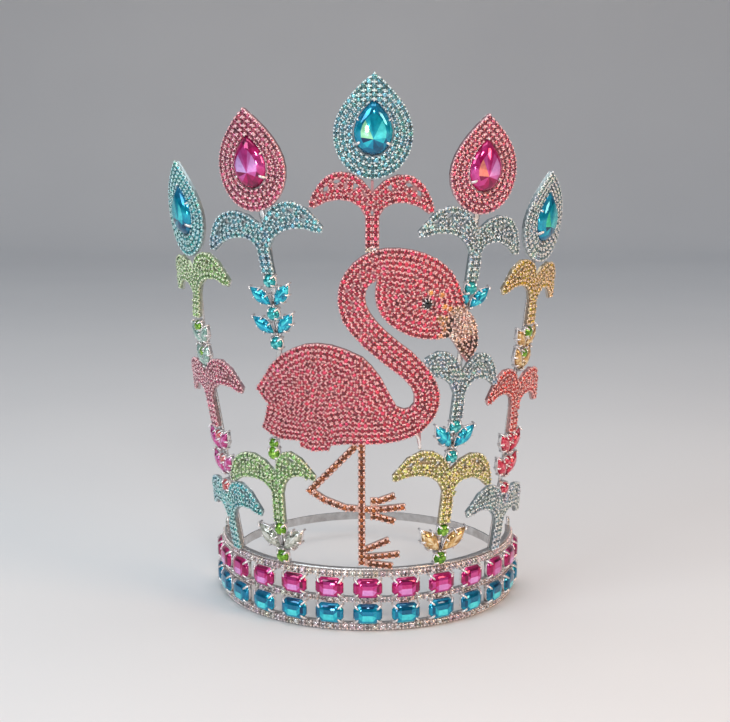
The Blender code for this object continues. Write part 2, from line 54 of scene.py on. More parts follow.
def node_adder(tree):
    """A function that adds a node to the tree, with its sockets' values and its settings."""

    def add(kind, sockets=(), **settings):
        node = tree.nodes.new(kind)
        for key, value in settings.items():
            setattr(node, key, value)
        for key, value in dict(sockets).items():
            node.inputs[key].default_value = value
        return node

    return add


def link(tree, *ways):
    """Join sockets: each way is a node, its output, the next node and its input."""
    for start, out, end, into in ways:
        tree.links.new(start.outputs[out], end.inputs[into])


def ramp(add, low, high):
    """Colour ramp between two stops, each a position and a colour."""
    node = add("ShaderNodeValToRGB")
    for element, (position, colour) in zip(node.color_ramp.elements, (low, high)):
        element.position = position
        element.color = (*colour, 1.0)
    return node


def node_material(name):
    """A new material with its node tree, its Principled shader and an adder of nodes."""
    material = bpy.data.materials.new(name)
    material.use_nodes = True
    tree = material.node_tree
    return material, tree, tree.nodes["Principled BSDF"], node_adder(tree)


def add_piece(name, points, blocks, material):
    """Object from whole arrays; each block holds the corner indices of like-sided faces."""
    mesh = bpy.data.meshes.new(name)
    corners = np.concatenate([block.ravel() for block in blocks]).astype(np.int32)
    sides = np.concatenate([np.full(len(block), block.shape[1]) for block in blocks])
    mesh.vertices.add(len(points))
    mesh.vertices.foreach_set("co", np.asarray(points, np.float32).ravel())
    mesh.loops.add(len(corners))
    mesh.loops.foreach_set("vertex_index", corners)
    mesh.polygons.add(len(sides))
    starts = np.concatenate(([0], np.cumsum(sides)[:-1])).astype(np.int32)
    mesh.polygons.foreach_set("loop_start", starts)
    mesh.update(calc_edges=True)
    mesh.materials.append(material)
    piece = bpy.data.objects.new(name, mesh)
    bpy.context.scene.collection.objects.link(piece)
    return piece


def grid_faces(rows, columns, closed=False):
    """Quads between the points of a rows by columns grid, the columns closed to a ring or not."""
    r = np.arange(rows - 1)[:, None]
    c = np.arange(columns if closed else columns - 1)[None, :]
    step = (c + 1) % columns
    a = r * columns + c
    b = r * columns + step
    return np.stack([a, b, b + columns, a + columns], axis=-1).reshape(-1, 4)


def paper_sweep():
    """Floor, quarter circle and wall: one profile drawn straight across the room."""
    turn = np.linspace(0.0, math.pi / 2.0, 24)
    depth = np.concatenate(([SWEEP_FRONT], SWEEP_DEPTH + SWEEP_RADIUS * np.sin(turn),
                            [SWEEP_DEPTH + SWEEP_RADIUS]))
    level = np.concatenate(([0.0], SWEEP_RADIUS * (1.0 - np.cos(turn)), [SWEEP_HEIGHT]))
    across = np.array([SWEEP_HALF_WIDTH, -SWEEP_HALF_WIDTH])
    points = np.stack([np.tile(across, (len(depth), 1)),
                       np.tile(depth[:, None], (1, 2)),
                       np.tile(level[:, None], (1, 2))], axis=-1)
    return points.reshape(-1, 3), [grid_faces(len(depth), 2)[:, ::-1]]


def sweep_paper():
    """Pale grey-white paper with a faint cloudiness and fine tooth."""
    material, tree, shader, add = node_material("studio_paper")
    place = add("ShaderNodeTexCoord")
    cloud = add("ShaderNodeTexNoise", {"Scale": 3.0})
    tint = ramp(add, (0.0, (0.72, 0.72, 0.73)), (1.0, (0.80, 0.80, 0.80)))
    tooth = add("ShaderNodeTexNoise", {"Scale": 900.0})
    bump = add("ShaderNodeBump", {"Strength": 0.05})
    link(tree, (place, "Object", cloud, "Vector"), (place, "Object", tooth, "Vector"),
         (cloud, "Fac", tint, "Fac"), (tint, "Color", shader, "Base Color"),
         (tooth, "Fac", bump, "Height"), (bump, "Normal", shader, "Normal"))
    shader.inputs["Roughness"].default_value = 0.85
    return material


floor = add_piece("paper_sweep", *paper_sweep(), sweep_paper())


# Lights: a dim room, a large cool light from the left and above, a warm one from
# the right, a soft one overhead, and two small lamps that make the facets flash.
def studio_air():
    """Dim at eye level and brighter overhead, as in a room with a white ceiling."""
    air = bpy.data.worlds.new("studio_air")
    air.use_nodes = True
    tree = air.node_tree
    add = node_adder(tree)
    place = add("ShaderNodeTexCoord")
    split = add("ShaderNodeSeparateXYZ")
    shade = ramp(add, (0.05, (0.045, 0.05, 0.06)), (0.75, (0.36, 0.39, 0.43)))
    link(tree, (place, "Generated", split, "Vector"), (split, "Z", shade, "Fac"),
         (shade, "Color", tree.nodes["Background"], "Color"))
    return air


bpy.context.scene.world = studio_air()
bpy.context.scene.view_settings.view_transform = "Standard"

# name, place, size, power, colour
LIGHTS = (
    ("left_window", (-0.9, -0.9, 0.85), 0.7, 7.2, (0.82, 0.94, 1.0)),
    ("right_lamp", (0.95, -0.7, 0.55), 0.45, 6.4, (1.0, 0.61, 0.37)),
    ("top_panel", (0.0, -0.15, 1.15), 0.8, 4.4, (1.0, 0.98, 0.95)),
    ("front_glint", (0.12, -1.15, 0.75), 0.16, 3.2, (1.0, 0.97, 0.94)),
    ("low_glint", (-0.35, -1.1, 0.12), 0.14, 1.6, (0.92, 0.96, 1.0)),
)
LIT_POINT = Vector((0.0, 0.0, 0.12))
for name, place, size, power, colour in LIGHTS:
    light = bpy.data.lights.new(name, "AREA")
    light.shape = "SQUARE"
    light.size = size
    light.energy = power
    light.color = colour
    lamp = bpy.data.objects.new(name, light)
    lamp.location = place
    lamp.rotation_euler = (LIT_POINT - Vector(place)).to_track_quat("-Z", "Y").to_euler()
    bpy.context.scene.collection.objects.link(lamp)


# Camera: in front of the crown, three quarters of a metre off, and looking
# slightly down on it.
lens = bpy.data.cameras.new("camera")
lens.sensor_width = 36.0
lens.lens = 71.0
lens.shift_x = -0.0037
lens.shift_y = -0.0137
camera = bpy.data.objects.new("camera", lens)
camera.location = (0.00132, -0.72305, 0.2516)
camera.rotation_euler = (math.radians(80.3), 0.0, 0.0)
bpy.context.scene.collection.objects.link(camera)
bpy.context.scene.camera = camera


# Band: one soldered lattice of three rails, cast in a white alloy and plated.
# Small crystals in claw cups are set side by side along each rail.
MM = 0.001
BAND_OUTER = 75.2
BAND_HEIGHT = 31.5
STONE_PITCH = 13.8
STONES_PER_ROW = 13
CRYSTALS_PER_STONE = 5
# level and size of the crystals on each rail
CRYSTAL_ROWS = ((2.3, 3.0), (15.9, 2.7), (28.7, 2.8))
CRYSTAL_SINK = 0.3
LAST_CRYSTAL_ANGLE = 89.0
CRYSTAL = (0.66, 0.56, 0.56)
# tone of a bare cup, and the share of it that is left beside the painted reflection of its stone's colour
CUP_TONE = np.array((1.0, 0.95, 0.93))
CUP_SHARE = 0.62
CUP_BACK_TONE = 0.9

band_low, band_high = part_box("band_frame")
RING = np.array([(band_low[0] + band_high[0]) / 2.0, band_high[1], 0.0])


def node_group(name, *sockets):
    """A new node group and its adder of nodes: each socket is a name, a direction and a kind."""
    group = bpy.data.node_groups.new(name, "ShaderNodeTree")
    for label, way, kind in sockets:
        group.interface.new_socket(label, in_out=way, socket_type=kind)
    return group, node_adder(group)


def rub_group():
    """Wear for plated metal: fine scratches and cloudy dulling, out as a mask from 0 to 1."""
    group, add = node_group("rubbed_plate", ("Scale", "INPUT", "NodeSocketFloat"),
                            ("Rub", "OUTPUT", "NodeSocketFloat"))
    start = add("NodeGroupInput")
    end = add("NodeGroupOutput")
    place = add("ShaderNodeTexCoord")
    cloud = add("ShaderNodeTexNoise", {"Detail": 4.0})
    fine = add("ShaderNodeMath", {1: 6.0}, operation="MULTIPLY")
    scratch = add("ShaderNodeTexNoise", {"Detail": 2.0})
    both = add("ShaderNodeMath", operation="MULTIPLY")
    link(group, (place, "Object", cloud, "Vector"), (place, "Object", scratch, "Vector"),
         (start, "Scale", cloud, "Scale"), (start, "Scale", fine, 0), (fine, 0, scratch, "Scale"),
         (cloud, "Fac", both, 0), (scratch, "Fac", both, 1), (both, 0, end, "Rub"))
    return group


RUB = rub_group()


def plated_metal(name, dull, bright, rough_low, rough_high, scale=260.0, metallic=1.0, painted_glow=False):
    """Plated alloy: its colour and roughness drift with the rub, which also lifts the surface.
    With the glow switch on it is tinted face by face by a painted reflection of the coloured glass it
    holds."""
    material, tree, shader, add = node_material(name)
    rub = add("ShaderNodeGroup", {"Scale": scale}, node_tree=RUB)
    tint = ramp(add, (0.12, dull), (0.42, bright))
    rough = add("ShaderNodeMapRange", {"From Min": 0.1, "From Max": 0.45, "To Min": rough_high,
                                       "To Max": rough_low})
    bump = add("ShaderNodeBump", {"Strength": 0.06, "Distance": 0.0001})
    link(tree, (rub, "Rub", tint, "Fac"), (rub, "Rub", rough, "Value"), (rub, "Rub", bump, "Height"),
         (rough, "Result", shader, "Roughness"), (bump, "Normal", shader, "Normal"))
    if painted_glow:
        facet = add("ShaderNodeAttribute", attribute_name="facet")
        both = add("ShaderNodeMix", {"Factor": 1.0}, data_type="RGBA", blend_type="MULTIPLY")
        link(tree, (tint, "Color", both, "A"), (facet, "Color", both, "B"),
             (both, "Result", shader, "Base Color"))
    else:
        link(tree, (tint, "Color", shader, "Base Color"))
    shader.inputs["Metallic"].default_value = metallic
    return material


SILVER = plated_metal("silver_plate", (0.56, 0.54, 0.53), (0.90, 0.89, 0.88), 0.16, 0.34)
PRONG_SILVER = plated_metal("prong_silver", (0.80, 0.74, 0.73), (0.98, 0.94, 0.93), 0.18, 0.36, 900.0,
                            0.75)
CUP_SILVER = plated_metal("cup_silver", (0.86, 0.80, 0.79), (0.98, 0.94, 0.93), 0.20, 0.38, 900.0,
                          0.66, True)


def ring_axes(angles):
    """Across, up and out directions on the upright band for angles in degrees."""
    a = np.radians(angles)
    zero = np.zeros_like(a)
    across = np.stack([np.cos(a), np.sin(a), zero], axis=-1)
    up = np.stack([zero, zero, zero + 1.0], axis=-1)
    out = np.stack([np.sin(a), -np.cos(a), zero], axis=-1)
    return np.stack([across, up, out], axis=1)


def repeat(shape, origins, axes, sizes):
    """Copies of a shape: origin plus x across, y up and z out, times the size, for each place."""
    points, blocks = shape
    sizes = np.broadcast_to(np.asarray(sizes, float), (len(origins),))
    laid = origins[:, None, :] + np.einsum("n,vi,nij->nvj", sizes * MM, points, axes)
    shift = (np.arange(len(origins)) * len(points))[:, None, None]
    return laid.reshape(-1, 3), [(block[None] + shift).reshape(-1, block.shape[1])
                                 for block in blocks]


def join_shapes(shapes):
    """One shape from several: their points in a row, their face blocks moved along."""
    points = np.concatenate([shape[0] for shape in shapes])
    starts = np.cumsum([0] + [len(shape[0]) for shape in shapes[:-1]])
    blocks = [block + start for shape, start in zip(shapes, starts) for block in shape[1]]
    return points, blocks


def lofted(rings):
    """Closed shape through rings of equally many points, flat at both ends."""
    rings = np.asarray(rings, float)
    levels, sides = rings.shape[:2]
    top = np.arange(sides) + (levels - 1) * sides
    return rings.reshape(-1, 3), [grid_faces(levels, sides, True), np.arange(sides)[None, ::-1],
                                  top[None]]


def flat_ring(sides, radius, turn=0.0, square=0.0):
    """Points at even angles; square pulls them towards a square's outline."""
    a = math.tau * (np.arange(sides) + turn) / sides
    reach = radius * ((1.0 - square) + square / np.maximum(np.abs(np.cos(a)), np.abs(np.sin(a))))
    return np.stack([reach * np.cos(a), reach * np.sin(a)], axis=-1)


def raised(ring, level):
    """A flat ring lifted to a level."""
    return np.column_stack([ring, np.full(len(ring), level)])


def small_cup():
    """Square cup with cut corners: an upright wall closed at the back and under the stone."""
    wall = flat_ring(8, 0.5, 0.5, 0.55)
    return lofted([raised(wall * 0.9, 0.0), raised(wall * 0.96, 0.34), raised(wall * 0.82, 0.40)])


def small_prongs():
    """Four claws at the corners of a cup, each a four-sided taper bent in over the stone."""
    foot = np.array([[0.15, -0.15], [0.15, 0.15], [-0.12, 0.15], [-0.12, -0.15]])
    claws = []
    for k in range(4):
        a = math.pi * (0.25 + 0.5 * k)
        turn = np.array([[math.cos(a), math.sin(a)], [-math.sin(a), math.cos(a)]])
        low = foot @ turn + 0.52 * turn[0]
        middle = (foot * 0.9) @ turn + 0.50 * turn[0]
        tip = (foot * 0.68) @ turn + 0.41 * turn[0]
        claws.append(lofted([raised(low, 0.24), raised(middle, 0.54), raised(tip, 0.66)]))
    return join_shapes(claws)


def small_stone():
    """Faceted stone: a girdle ring, a table turned half a step, and triangles between the two."""
    girdle = raised(flat_ring(8, 0.46), 0.37)
    belt = raised(flat_ring(8, 0.46), 0.46)
    table = raised(flat_ring(8, 0.27, 0.5), 0.63)
    k = np.arange(8)
    step = (k + 1) % 8
    wall = np.stack([k, step, step + 8, k + 8], axis=-1)
    rising = np.stack([k + 8, step + 8, k + 16], axis=-1)
    hanging = np.stack([step + 8, step + 16, k + 16], axis=-1)
    return np.concatenate([girdle, belt, table]), [wall, rising, hanging, k[None, ::-1],
                                                   (k + 16)[None]]


def facet_tint(piece, values):
    """Store one colour for each face on its corners, for the stone's material."""
    mesh = piece.data
    sides = np.zeros(len(mesh.polygons), np.int32)
    mesh.polygons.foreach_get("loop_total", sides)
    layer = mesh.attributes.new("facet", "FLOAT_COLOR", "CORNER")
    colours = np.column_stack([values, np.ones(len(values))])
    layer.data.foreach_set("color", np.repeat(colours, sides, axis=0).astype(np.float32).ravel())


def facet_colours(blocks, colours, spread, seed):
    """Each facet takes its stone's colour, painted darker or lighter at random as painted shade and
    flashes of the foil behind it.
    """
    dice = np.random.default_rng(seed)
    count = len(colours)
    parts = []
    for block in blocks:
        per_stone = len(block) // count
        share = np.exp(dice.normal(0.0, spread, (count, per_stone, 1)))
        parts.append((colours[:, None, :] * share).reshape(-1, 3))
    return np.clip(np.concatenate(parts), 0.0, 1.0)


def stone_colours(base, count, drift, seed):
    """A colour for each stone of one lot, drifting a little from the next."""
    dice = np.random.default_rng(seed)
    light = np.exp(dice.normal(0.0, drift, (count, 1)))
    hue = 1.0 + dice.normal(0.0, drift * 0.35, (count, 3))
    return np.clip(np.asarray(base)[None] * light * hue, 0.0, 1.0)


def foil_group():
    """Foil seen through glass: its facet's colour with the painted flash or shade in it, cloudy in
    places, and a grain from 0 to 1.
    """
    group, add = node_group("foil_behind_glass", ("Color", "OUTPUT", "NodeSocketColor"),
                            ("Grain", "OUTPUT", "NodeSocketFloat"))
    end = add("NodeGroupOutput")
    facet = add("ShaderNodeAttribute", attribute_name="facet")
    place = add("ShaderNodeTexCoord")
    grain = add("ShaderNodeTexNoise", {"Scale": 700.0, "Detail": 3.0})
    cloud = ramp(add, (0.25, (0.72, 0.72, 0.74)), (0.65, (1.0, 1.0, 1.0)))
    clouded = add("ShaderNodeMix", {"Factor": 1.0}, data_type="RGBA", blend_type="MULTIPLY")
    link(group, (place, "Object", grain, "Vector"), (grain, "Fac", cloud, "Fac"),
         (facet, "Color", clouded, "A"), (cloud, "Color", clouded, "B"),
         (clouded, "Result", end, "Color"), (grain, "Fac", end, "Grain"))
    return group


FOIL = foil_group()


def foiled_glass(name, metallic, rough, coat):
    """Cut glass over foil: the facet's colour, with its painted flash or shade, under a clear polished
    top.
    """
    material, tree, shader, add = node_material(name)
    foil = add("ShaderNodeGroup", node_tree=FOIL)
    shade = add("ShaderNodeMapRange", {"To Min": rough * 0.6, "To Max": rough * 1.5})
    link(tree, (foil, "Grain", shade, "Value"), (foil, "Color", shader, "Base Color"),
         (shade, "Result", shader, "Roughness"))
    shader.inputs["Metallic"].default_value = metallic
    shader.inputs["Coat Weight"].default_value = coat
    shader.inputs["Coat Roughness"].default_value = 0.03
    shader.inputs["Coat IOR"].default_value = 1.6
    return material


PAVE_GLASS = foiled_glass("pave_glass", 0.66, 0.15, 0.55)
CRYSTAL_GLASS = foiled_glass("crystal_glass", 0.80, 0.10, 0.7)

BAND_PLATE = plated_metal("band_plate", (0.32, 0.30, 0.30), (0.66, 0.64, 0.63), 0.2, 0.4)
bpy.data.objects["band_frame"].material_slots[0].material = BAND_PLATE


def small_back():
    """Back of a cup where it comes through the plate: a low square cushion, turned to the rear."""
    wall = flat_ring(8, 0.5, 0.5, 0.55)
    return lofted([raised(wall * 0.66, -0.10), raised(wall * 0.84, -0.05), raised(wall * 0.88, 0.04)])


def fixed_piece(name, shape, material, slot, *stands_for):
    """A piece set or soldered on the crown, in place of the solid nodes that it stands for."""
    piece = add_piece(name, *shape, material)
    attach(piece, "root")
    if stands_for:
        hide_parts(*stands_for)
    return piece


def set_stones(name, origins, axes, sizes, base, slot, glass, seed, drift=0.16, spread=0.5, rear=0.0):
    """A lot of small stones and the claws and cups that hold them, as two pieces.
    Behind a plate, the backs of the cups show at the rear distance from the stones' seat."""
    stones = repeat(small_stone(), origins, axes, sizes)
    colours = base if np.ndim(base) == 2 else stone_colours(base, len(origins), drift, seed)
    piece = fixed_piece(name + "_stones", stones, glass, slot)
    facet_tint(piece, facet_colours(stones[1], colours, spread, seed + 1))
    settings = repeat(join_shapes([small_cup(), small_prongs()]), origins, axes, sizes)
    # the cups are painted with a reflection of their stone's colour, mixed into the bare tone
    lit = colours / colours.max(axis=1, keepdims=True)
    painted_glow = CUP_SHARE * CUP_TONE + (1.0 - CUP_SHARE) * lit
    tints = facet_colours(settings[1], painted_glow, 0.0, seed)
    if rear:
        backs = repeat(small_back(), origins - axes[:, 2] * rear * MM, axes, sizes)
        plain = facet_colours(backs[1], np.full((len(origins), 3), CUP_BACK_TONE), 0.0, seed)
        settings, tints = join_shapes([settings, backs]), np.concatenate([tints, plain])
    facet_tint(fixed_piece(name + "_cups", settings, CUP_SILVER, "silver_plate"), tints)


crystal_step = STONE_PITCH / CRYSTALS_PER_STONE
crystals_a_side = int(LAST_CRYSTAL_ANGLE // crystal_step)
for row, (level, size) in enumerate(CRYSTAL_ROWS):
    axes = ring_axes(np.arange(-crystals_a_side, crystals_a_side + 1) * crystal_step)
    origins = RING + axes[:, 2] * (BAND_OUTER - CRYSTAL_SINK) * MM + axes[:, 1] * level * MM
    set_stones(f"rail_crystals_{row + 1}", origins, axes, size, CRYSTAL, "silver_plate",
               CRYSTAL_GLASS, seed=11 + row, drift=0.25, spread=0.75)


# Top wire: a plain round wire of the same plated alloy, soldered round the top
# rail to give it a smooth edge.
WIRE_LEVEL = 30.9
WIRE_RADIUS = 0.55
WIRE_SINK = 0.1


def bent_wire(angles, level, radius, thick):
    """Round wire bent to the ring: an eight-sided section carried through the angles."""
    axes = ring_axes(angles)
    section = flat_ring(8, thick)
    rings = (axes[:, None, 2] * (radius + section[None, :, :1])
             + axes[:, None, 1] * (level - section[None, :, 1:]))
    points, blocks = lofted(rings)
    return RING + points * MM, blocks


fixed_piece("top_wire", bent_wire(np.linspace(-90.0, 90.0, 121), WIRE_LEVEL, BAND_OUTER - WIRE_SINK,
                                  WIRE_RADIUS), SILVER, "silver_plate")


# End posts: three bars at each side, soldered upright across the rails beside the
# last of the large stones, and set with crystals between the rails.
POST_ANGLES = (-89.3, -75.9, -62.1, 62.1, 75.9, 89.3)
POST_LEVELS = (5.4, 8.3, 11.2, 18.8, 21.9, 25.1)
POST_ENDS = (1.0, 30.0)
POST_CRYSTAL = 3.0


def post():
    """Bar from the bottom rail to the top one, its edges eased at the front."""
    section = np.array([(-1.2, -1.6), (1.2, -1.6), (1.2, -0.3), (0.9, 0.0), (-0.9, 0.0), (-1.2, -0.3)])
    return lofted([np.column_stack([section[::-1, 0], np.full(6, level), section[::-1, 1]])
                   for level in POST_ENDS])


axes = ring_axes(np.array(POST_ANGLES))
fixed_piece("end_posts", repeat(post(), RING + axes[:, 2] * BAND_OUTER * MM, axes, 1.0), SILVER,
            "silver_plate")
axes = ring_axes(np.repeat(POST_ANGLES, len(POST_LEVELS)))
origins = RING + axes[:, 2] * (BAND_OUTER - CRYSTAL_SINK) * MM
origins += axes[:, 1] * np.tile(POST_LEVELS, len(POST_ANGLES))[:, None] * MM
set_stones("post_crystals", origins, axes, POST_CRYSTAL, CRYSTAL, "silver_plate", CRYSTAL_GLASS,
           seed=17, drift=0.25, spread=0.75)


# Octagon stones: two rows of step-cut glass, fuchsia over aqua, backed with
# foil and held by four long claws at their cut corners.
OCTAGON_WIDTH = 14.0
OCTAGON_HEIGHT = 10.0
OCTAGON_CORNER = 2.8
OCTAGON_BACK = 0.3
PINK_ROW = 22.35
BLUE_ROW = 9.45


def octagon_ring(share):
    """Rectangle with its corners cut, anticlockwise from the lower right."""
    x = OCTAGON_WIDTH / 2.0 * share
    y = OCTAGON_HEIGHT / 2.0 * share
    c = OCTAGON_CORNER * share
    return np.array([(x, c - y), (x, y - c), (x - c, y), (c - x, y),
                     (-x, y - c), (-x, c - y), (c - x, -y), (x - c, -y)])


def octagon_gem():
    """Steps of shrinking octagons under a table, which a keel line divides into facets."""
    shares = ((0.86, 0.3), (0.98, 1.5), (1.0, 1.9), (0.97, 2.5), (0.82, 3.5), (0.62, 4.15))
    rings = np.concatenate([raised(octagon_ring(share), rise) for share, rise in shares])
    keel = np.array([[2.4, -0.4, 4.15], [-2.4, -0.4, 4.15]])
    sides = 8
    walls = grid_faces(len(shares), sides, True)
    top = (len(shares) - 1) * sides
    right, left = len(rings), len(rings) + 1
    table = [[top + 0, top + 1, right], [top + 1, top + 2, right], [top + 3, top + 4, left],
             [top + 4, top + 5, left], [top + 5, top + 6, left], [top + 7, top + 0, right]]
    wide = [[top + 2, top + 3, left, right], [top + 6, top + 7, right, left]]
    return np.concatenate([rings, keel]), [walls, np.array(table), np.array(wide),
                                           np.arange(sides)[None, ::-1]]


def claw(edge, inward, path, thick=0.42):
    """A bent finger of four-cornered sections, each at a reach, a level and a half width."""
    inward = np.asarray(inward) / np.linalg.norm(inward)
    side = np.array([-inward[1], inward[0]])
    rings = []
    for reach, level, half in path:
        middle = np.asarray(edge) + inward * reach
        back, front = middle - inward * thick, middle + inward * thick * 0.7
        rings.append([(*(back - side * half), level), (*(front - side * half * 0.8), level - 0.35),
                      (*(front + side * half * 0.8), level - 0.35), (*(back + side * half), level)])
    return lofted(rings)


def octagon_claws():
    """Claws that rise from the back at each cut corner and lie over the crown."""
    path = ((-0.95, 0.0, 0.60), (-0.75, 2.3, 0.58), (-0.1, 3.1, 0.55), (1.0, 3.95, 0.46),
            (1.6, 4.25, 0.30))
    return join_shapes([claw((x * (OCTAGON_WIDTH / 2.0 - 1.25), y * (OCTAGON_HEIGHT / 2.0 - 1.25)),
                             (-x, -y), path) for x, y in ((1, 1), (-1, 1), (-1, -1), (1, -1))])


def octagon_seat():
    """Low cup wall that follows the stone's outline behind its girdle."""
    return lofted([raised(octagon_ring(0.88), 0.0), raised(octagon_ring(1.0), 1.3),
                   raised(octagon_ring(1.015), 1.75), raised(octagon_ring(0.96), 1.85)])


# deep, middle, light and flash colours that paint the light and shade on a stone's facets
FUCHSIA_TONES = ((0.12, 0.002, 0.04), (0.58, 0.007, 0.15), (0.70, 0.09, 0.40), (0.98, 0.40, 0.90))
AQUA_TONES = ((0.0, 0.035, 0.11), (0.0, 0.26, 0.46), (0.01, 0.52, 0.66), (0.10, 0.95, 1.0))


def toned(tones, levels):
    """Colours between deep, middle, light and flash for levels from 0 to 3."""
    tones = np.asarray(tones)
    levels = np.clip(levels, 0.0, 3.0)
    low = np.floor(levels).astype(int).clip(0, 2)
    share = (levels - low)[..., None]
    return tones[low] * (1.0 - share) + tones[low + 1] * share


def octagon_tones(tones, painted_upper_face, count, seed):
    """Painted light and shade on the facets of a row: dark steps above, bright steps below, as foil
    throws light upwards.
    """
    dice = np.random.default_rng(seed)
    steps = np.array([0.7, 1.1, 0.5, 1.1, 0.8, 1.2, 1.7, 1.2])
    wall = [steps + lift for lift in (-0.5, -0.1, 0.4, 0.1, -0.2)]
    values = [np.concatenate(wall), np.array([1.5, 0.9, 0.9, 1.5, 2.1, 2.1]), np.array([painted_upper_face, 3.0]),
              np.array([0.2])]
    return np.concatenate([toned(tones, value + dice.normal(0.0, 0.28, (count, len(value))))
                           .reshape(-1, 3) for value in values])


GEM_GLASS = foiled_glass("gem_glass", 0.5, 0.08, 0.35)
row_axes = ring_axes((np.arange(STONES_PER_ROW) - (STONES_PER_ROW - 1) / 2) * STONE_PITCH)
# row, level, tones, level of the painted light on the upper wide face, slot, seed
for row, level, tones, painted_upper_face, slot, seed in (
        ("pink", PINK_ROW, FUCHSIA_TONES, 1.75, "fuchsia_glass", 31),
        ("blue", BLUE_ROW, AQUA_TONES, 0.8, "aqua_glass", 37)):
    origins = RING + row_axes[:, 2] * (BAND_OUTER + OCTAGON_BACK) * MM + row_axes[:, 1] * level * MM
    gems = repeat(octagon_gem(), origins, row_axes, 1.0)
    piece = fixed_piece(f"octagon_{row}_stones", gems, GEM_GLASS, slot,
                        *[f"octagon_{row}_{k + 1:02d}" for k in range(STONES_PER_ROW)])
    facet_tint(piece, octagon_tones(tones, painted_upper_face, STONES_PER_ROW, seed))
    settings = repeat(join_shapes([octagon_claws(), octagon_seat()]), origins, row_axes, 1.0)
    fixed_piece(f"octagon_{row}_claws", settings, PRONG_SILVER, "silver_plate")


# Back strap: a plain strip of the same plated alloy, bent round the back of the
# head and soldered to the band's ends. It is polished but rubbed by the hair.
STRAP_PLATE = plated_metal("strap_plate", (0.46, 0.44, 0.43), (0.72, 0.71, 0.71), 0.08, 0.18, 50.0)
bpy.data.objects["back_strap"].material_slots[0].material = STRAP_PLATE


# Uprights: strips of the plated alloy, bent to lie on the cone that the crown
# flares out to, and soldered to the top of the band. Each carries a side column.
RIM_RADIUS = 76.0
LEAN = math.radians(8.5)
STRIP_BACK = -1.9
STRIP_FRONT = -0.7
STRIP_HALF_WIDTH = 1.5
STRIP_EASE = 0.25
SEAT_GAP = 0.3
# slope height and angle of the points that each column's line runs through
COLUMNS = {
    "far_left": ((0.0, -57.0), (30.0, -58.6), (60.0, -59.2), (100.0, -61.2), (116.0, -61.2),
                 (145.0, -58.0), (190.0, -57.0)),
    "left": ((0.0, -32.0), (62.0, -31.2), (112.0, -26.6), (160.0, -27.4), (190.0, -29.8)),
    "centre": ((0.0, 1.1), (190.0, 1.1)),
    "right": ((0.0, 26.6), (62.0, 27.8), (112.0, 28.6), (160.0, 29.0), (190.0, 30.4)),
    "far_right": ((0.0, 55.0), (50.0, 55.3), (85.0, 53.6), (100.0, 55.0), (113.0, 55.6),
                  (145.0, 55.0), (190.0, 54.5)),
}
STRIP_TOPS = {"far_left": 152.5, "left": 180.0, "right": 178.0, "far_right": 150.5}



def column_angle(column, height):
    """Angle of a column's line at a slope height."""
    heights, angles = zip(*COLUMNS[column])
    return np.interp(height, heights, angles)


def cone_axes(angles, turns):
    """Across, up and out directions on the leaning cone, turned in its surface by degrees."""
    a = np.radians(angles)
    across = np.stack([np.cos(a), np.sin(a), np.zeros_like(a)], axis=-1)
    up = np.stack([np.sin(a) * math.sin(LEAN), -np.cos(a) * math.sin(LEAN),
                   np.full_like(a, math.cos(LEAN))], axis=-1)
    out = np.cross(across, up)
    c = np.cos(np.radians(turns))[:, None]
    s = np.sin(np.radians(turns))[:, None]
    return np.stack([across * c + up * s, up * c - across * s, out], axis=1)


def on_cone(angles, heights, proud):
    """Points at angles and slope heights, standing proud of the cone along its normal."""
    a = np.radians(angles)
    radius = RIM_RADIUS + heights * math.sin(LEAN) + proud * math.cos(LEAN)
    rise = BAND_HEIGHT + heights * math.cos(LEAN) - proud * math.sin(LEAN)
    return RING + MM * np.stack([radius * np.sin(a), -radius * np.cos(a), rise], axis=-1)


def strip(column):
    """A flat bar with eased edges: its section carried up the column's line on the cone."""
    heights = np.linspace(SEAT_GAP, STRIP_TOPS[column], 40)
    middle = (STRIP_BACK + STRIP_FRONT) / 2.0
    half = (STRIP_FRONT - STRIP_BACK) / 2.0
    ease = STRIP_EASE
    section = [(-1.0, half - ease), (ease - 1.0, half), (1.0 - ease, half), (1.0, half - ease),
               (1.0, ease - half), (1.0 - ease, -half), (ease - 1.0, -half), (-1.0, ease - half)]
    across = np.array([x * STRIP_HALF_WIDTH for x, z in section])[None, :]
    proud = np.array([middle + z for x, z in section])[None, :]
    radius = RIM_RADIUS + heights[:, None] * math.sin(LEAN)
    angles = column_angle(column, heights)[:, None] + np.degrees(across / radius)
    return lofted(on_cone(angles, np.broadcast_to(heights[:, None], angles.shape),
                          np.broadcast_to(proud, angles.shape)))


for column in STRIP_TOPS:
    fixed_piece(f"upright_{column}_strip", strip(column), SILVER, "silver_plate", f"upright_{column}")


# Round stones: large brilliants of coloured glass, each in a cup with four claws
# that is soldered to its upright, below, between and above the pairs of leaves.
SPRAY_BACK = -1.3
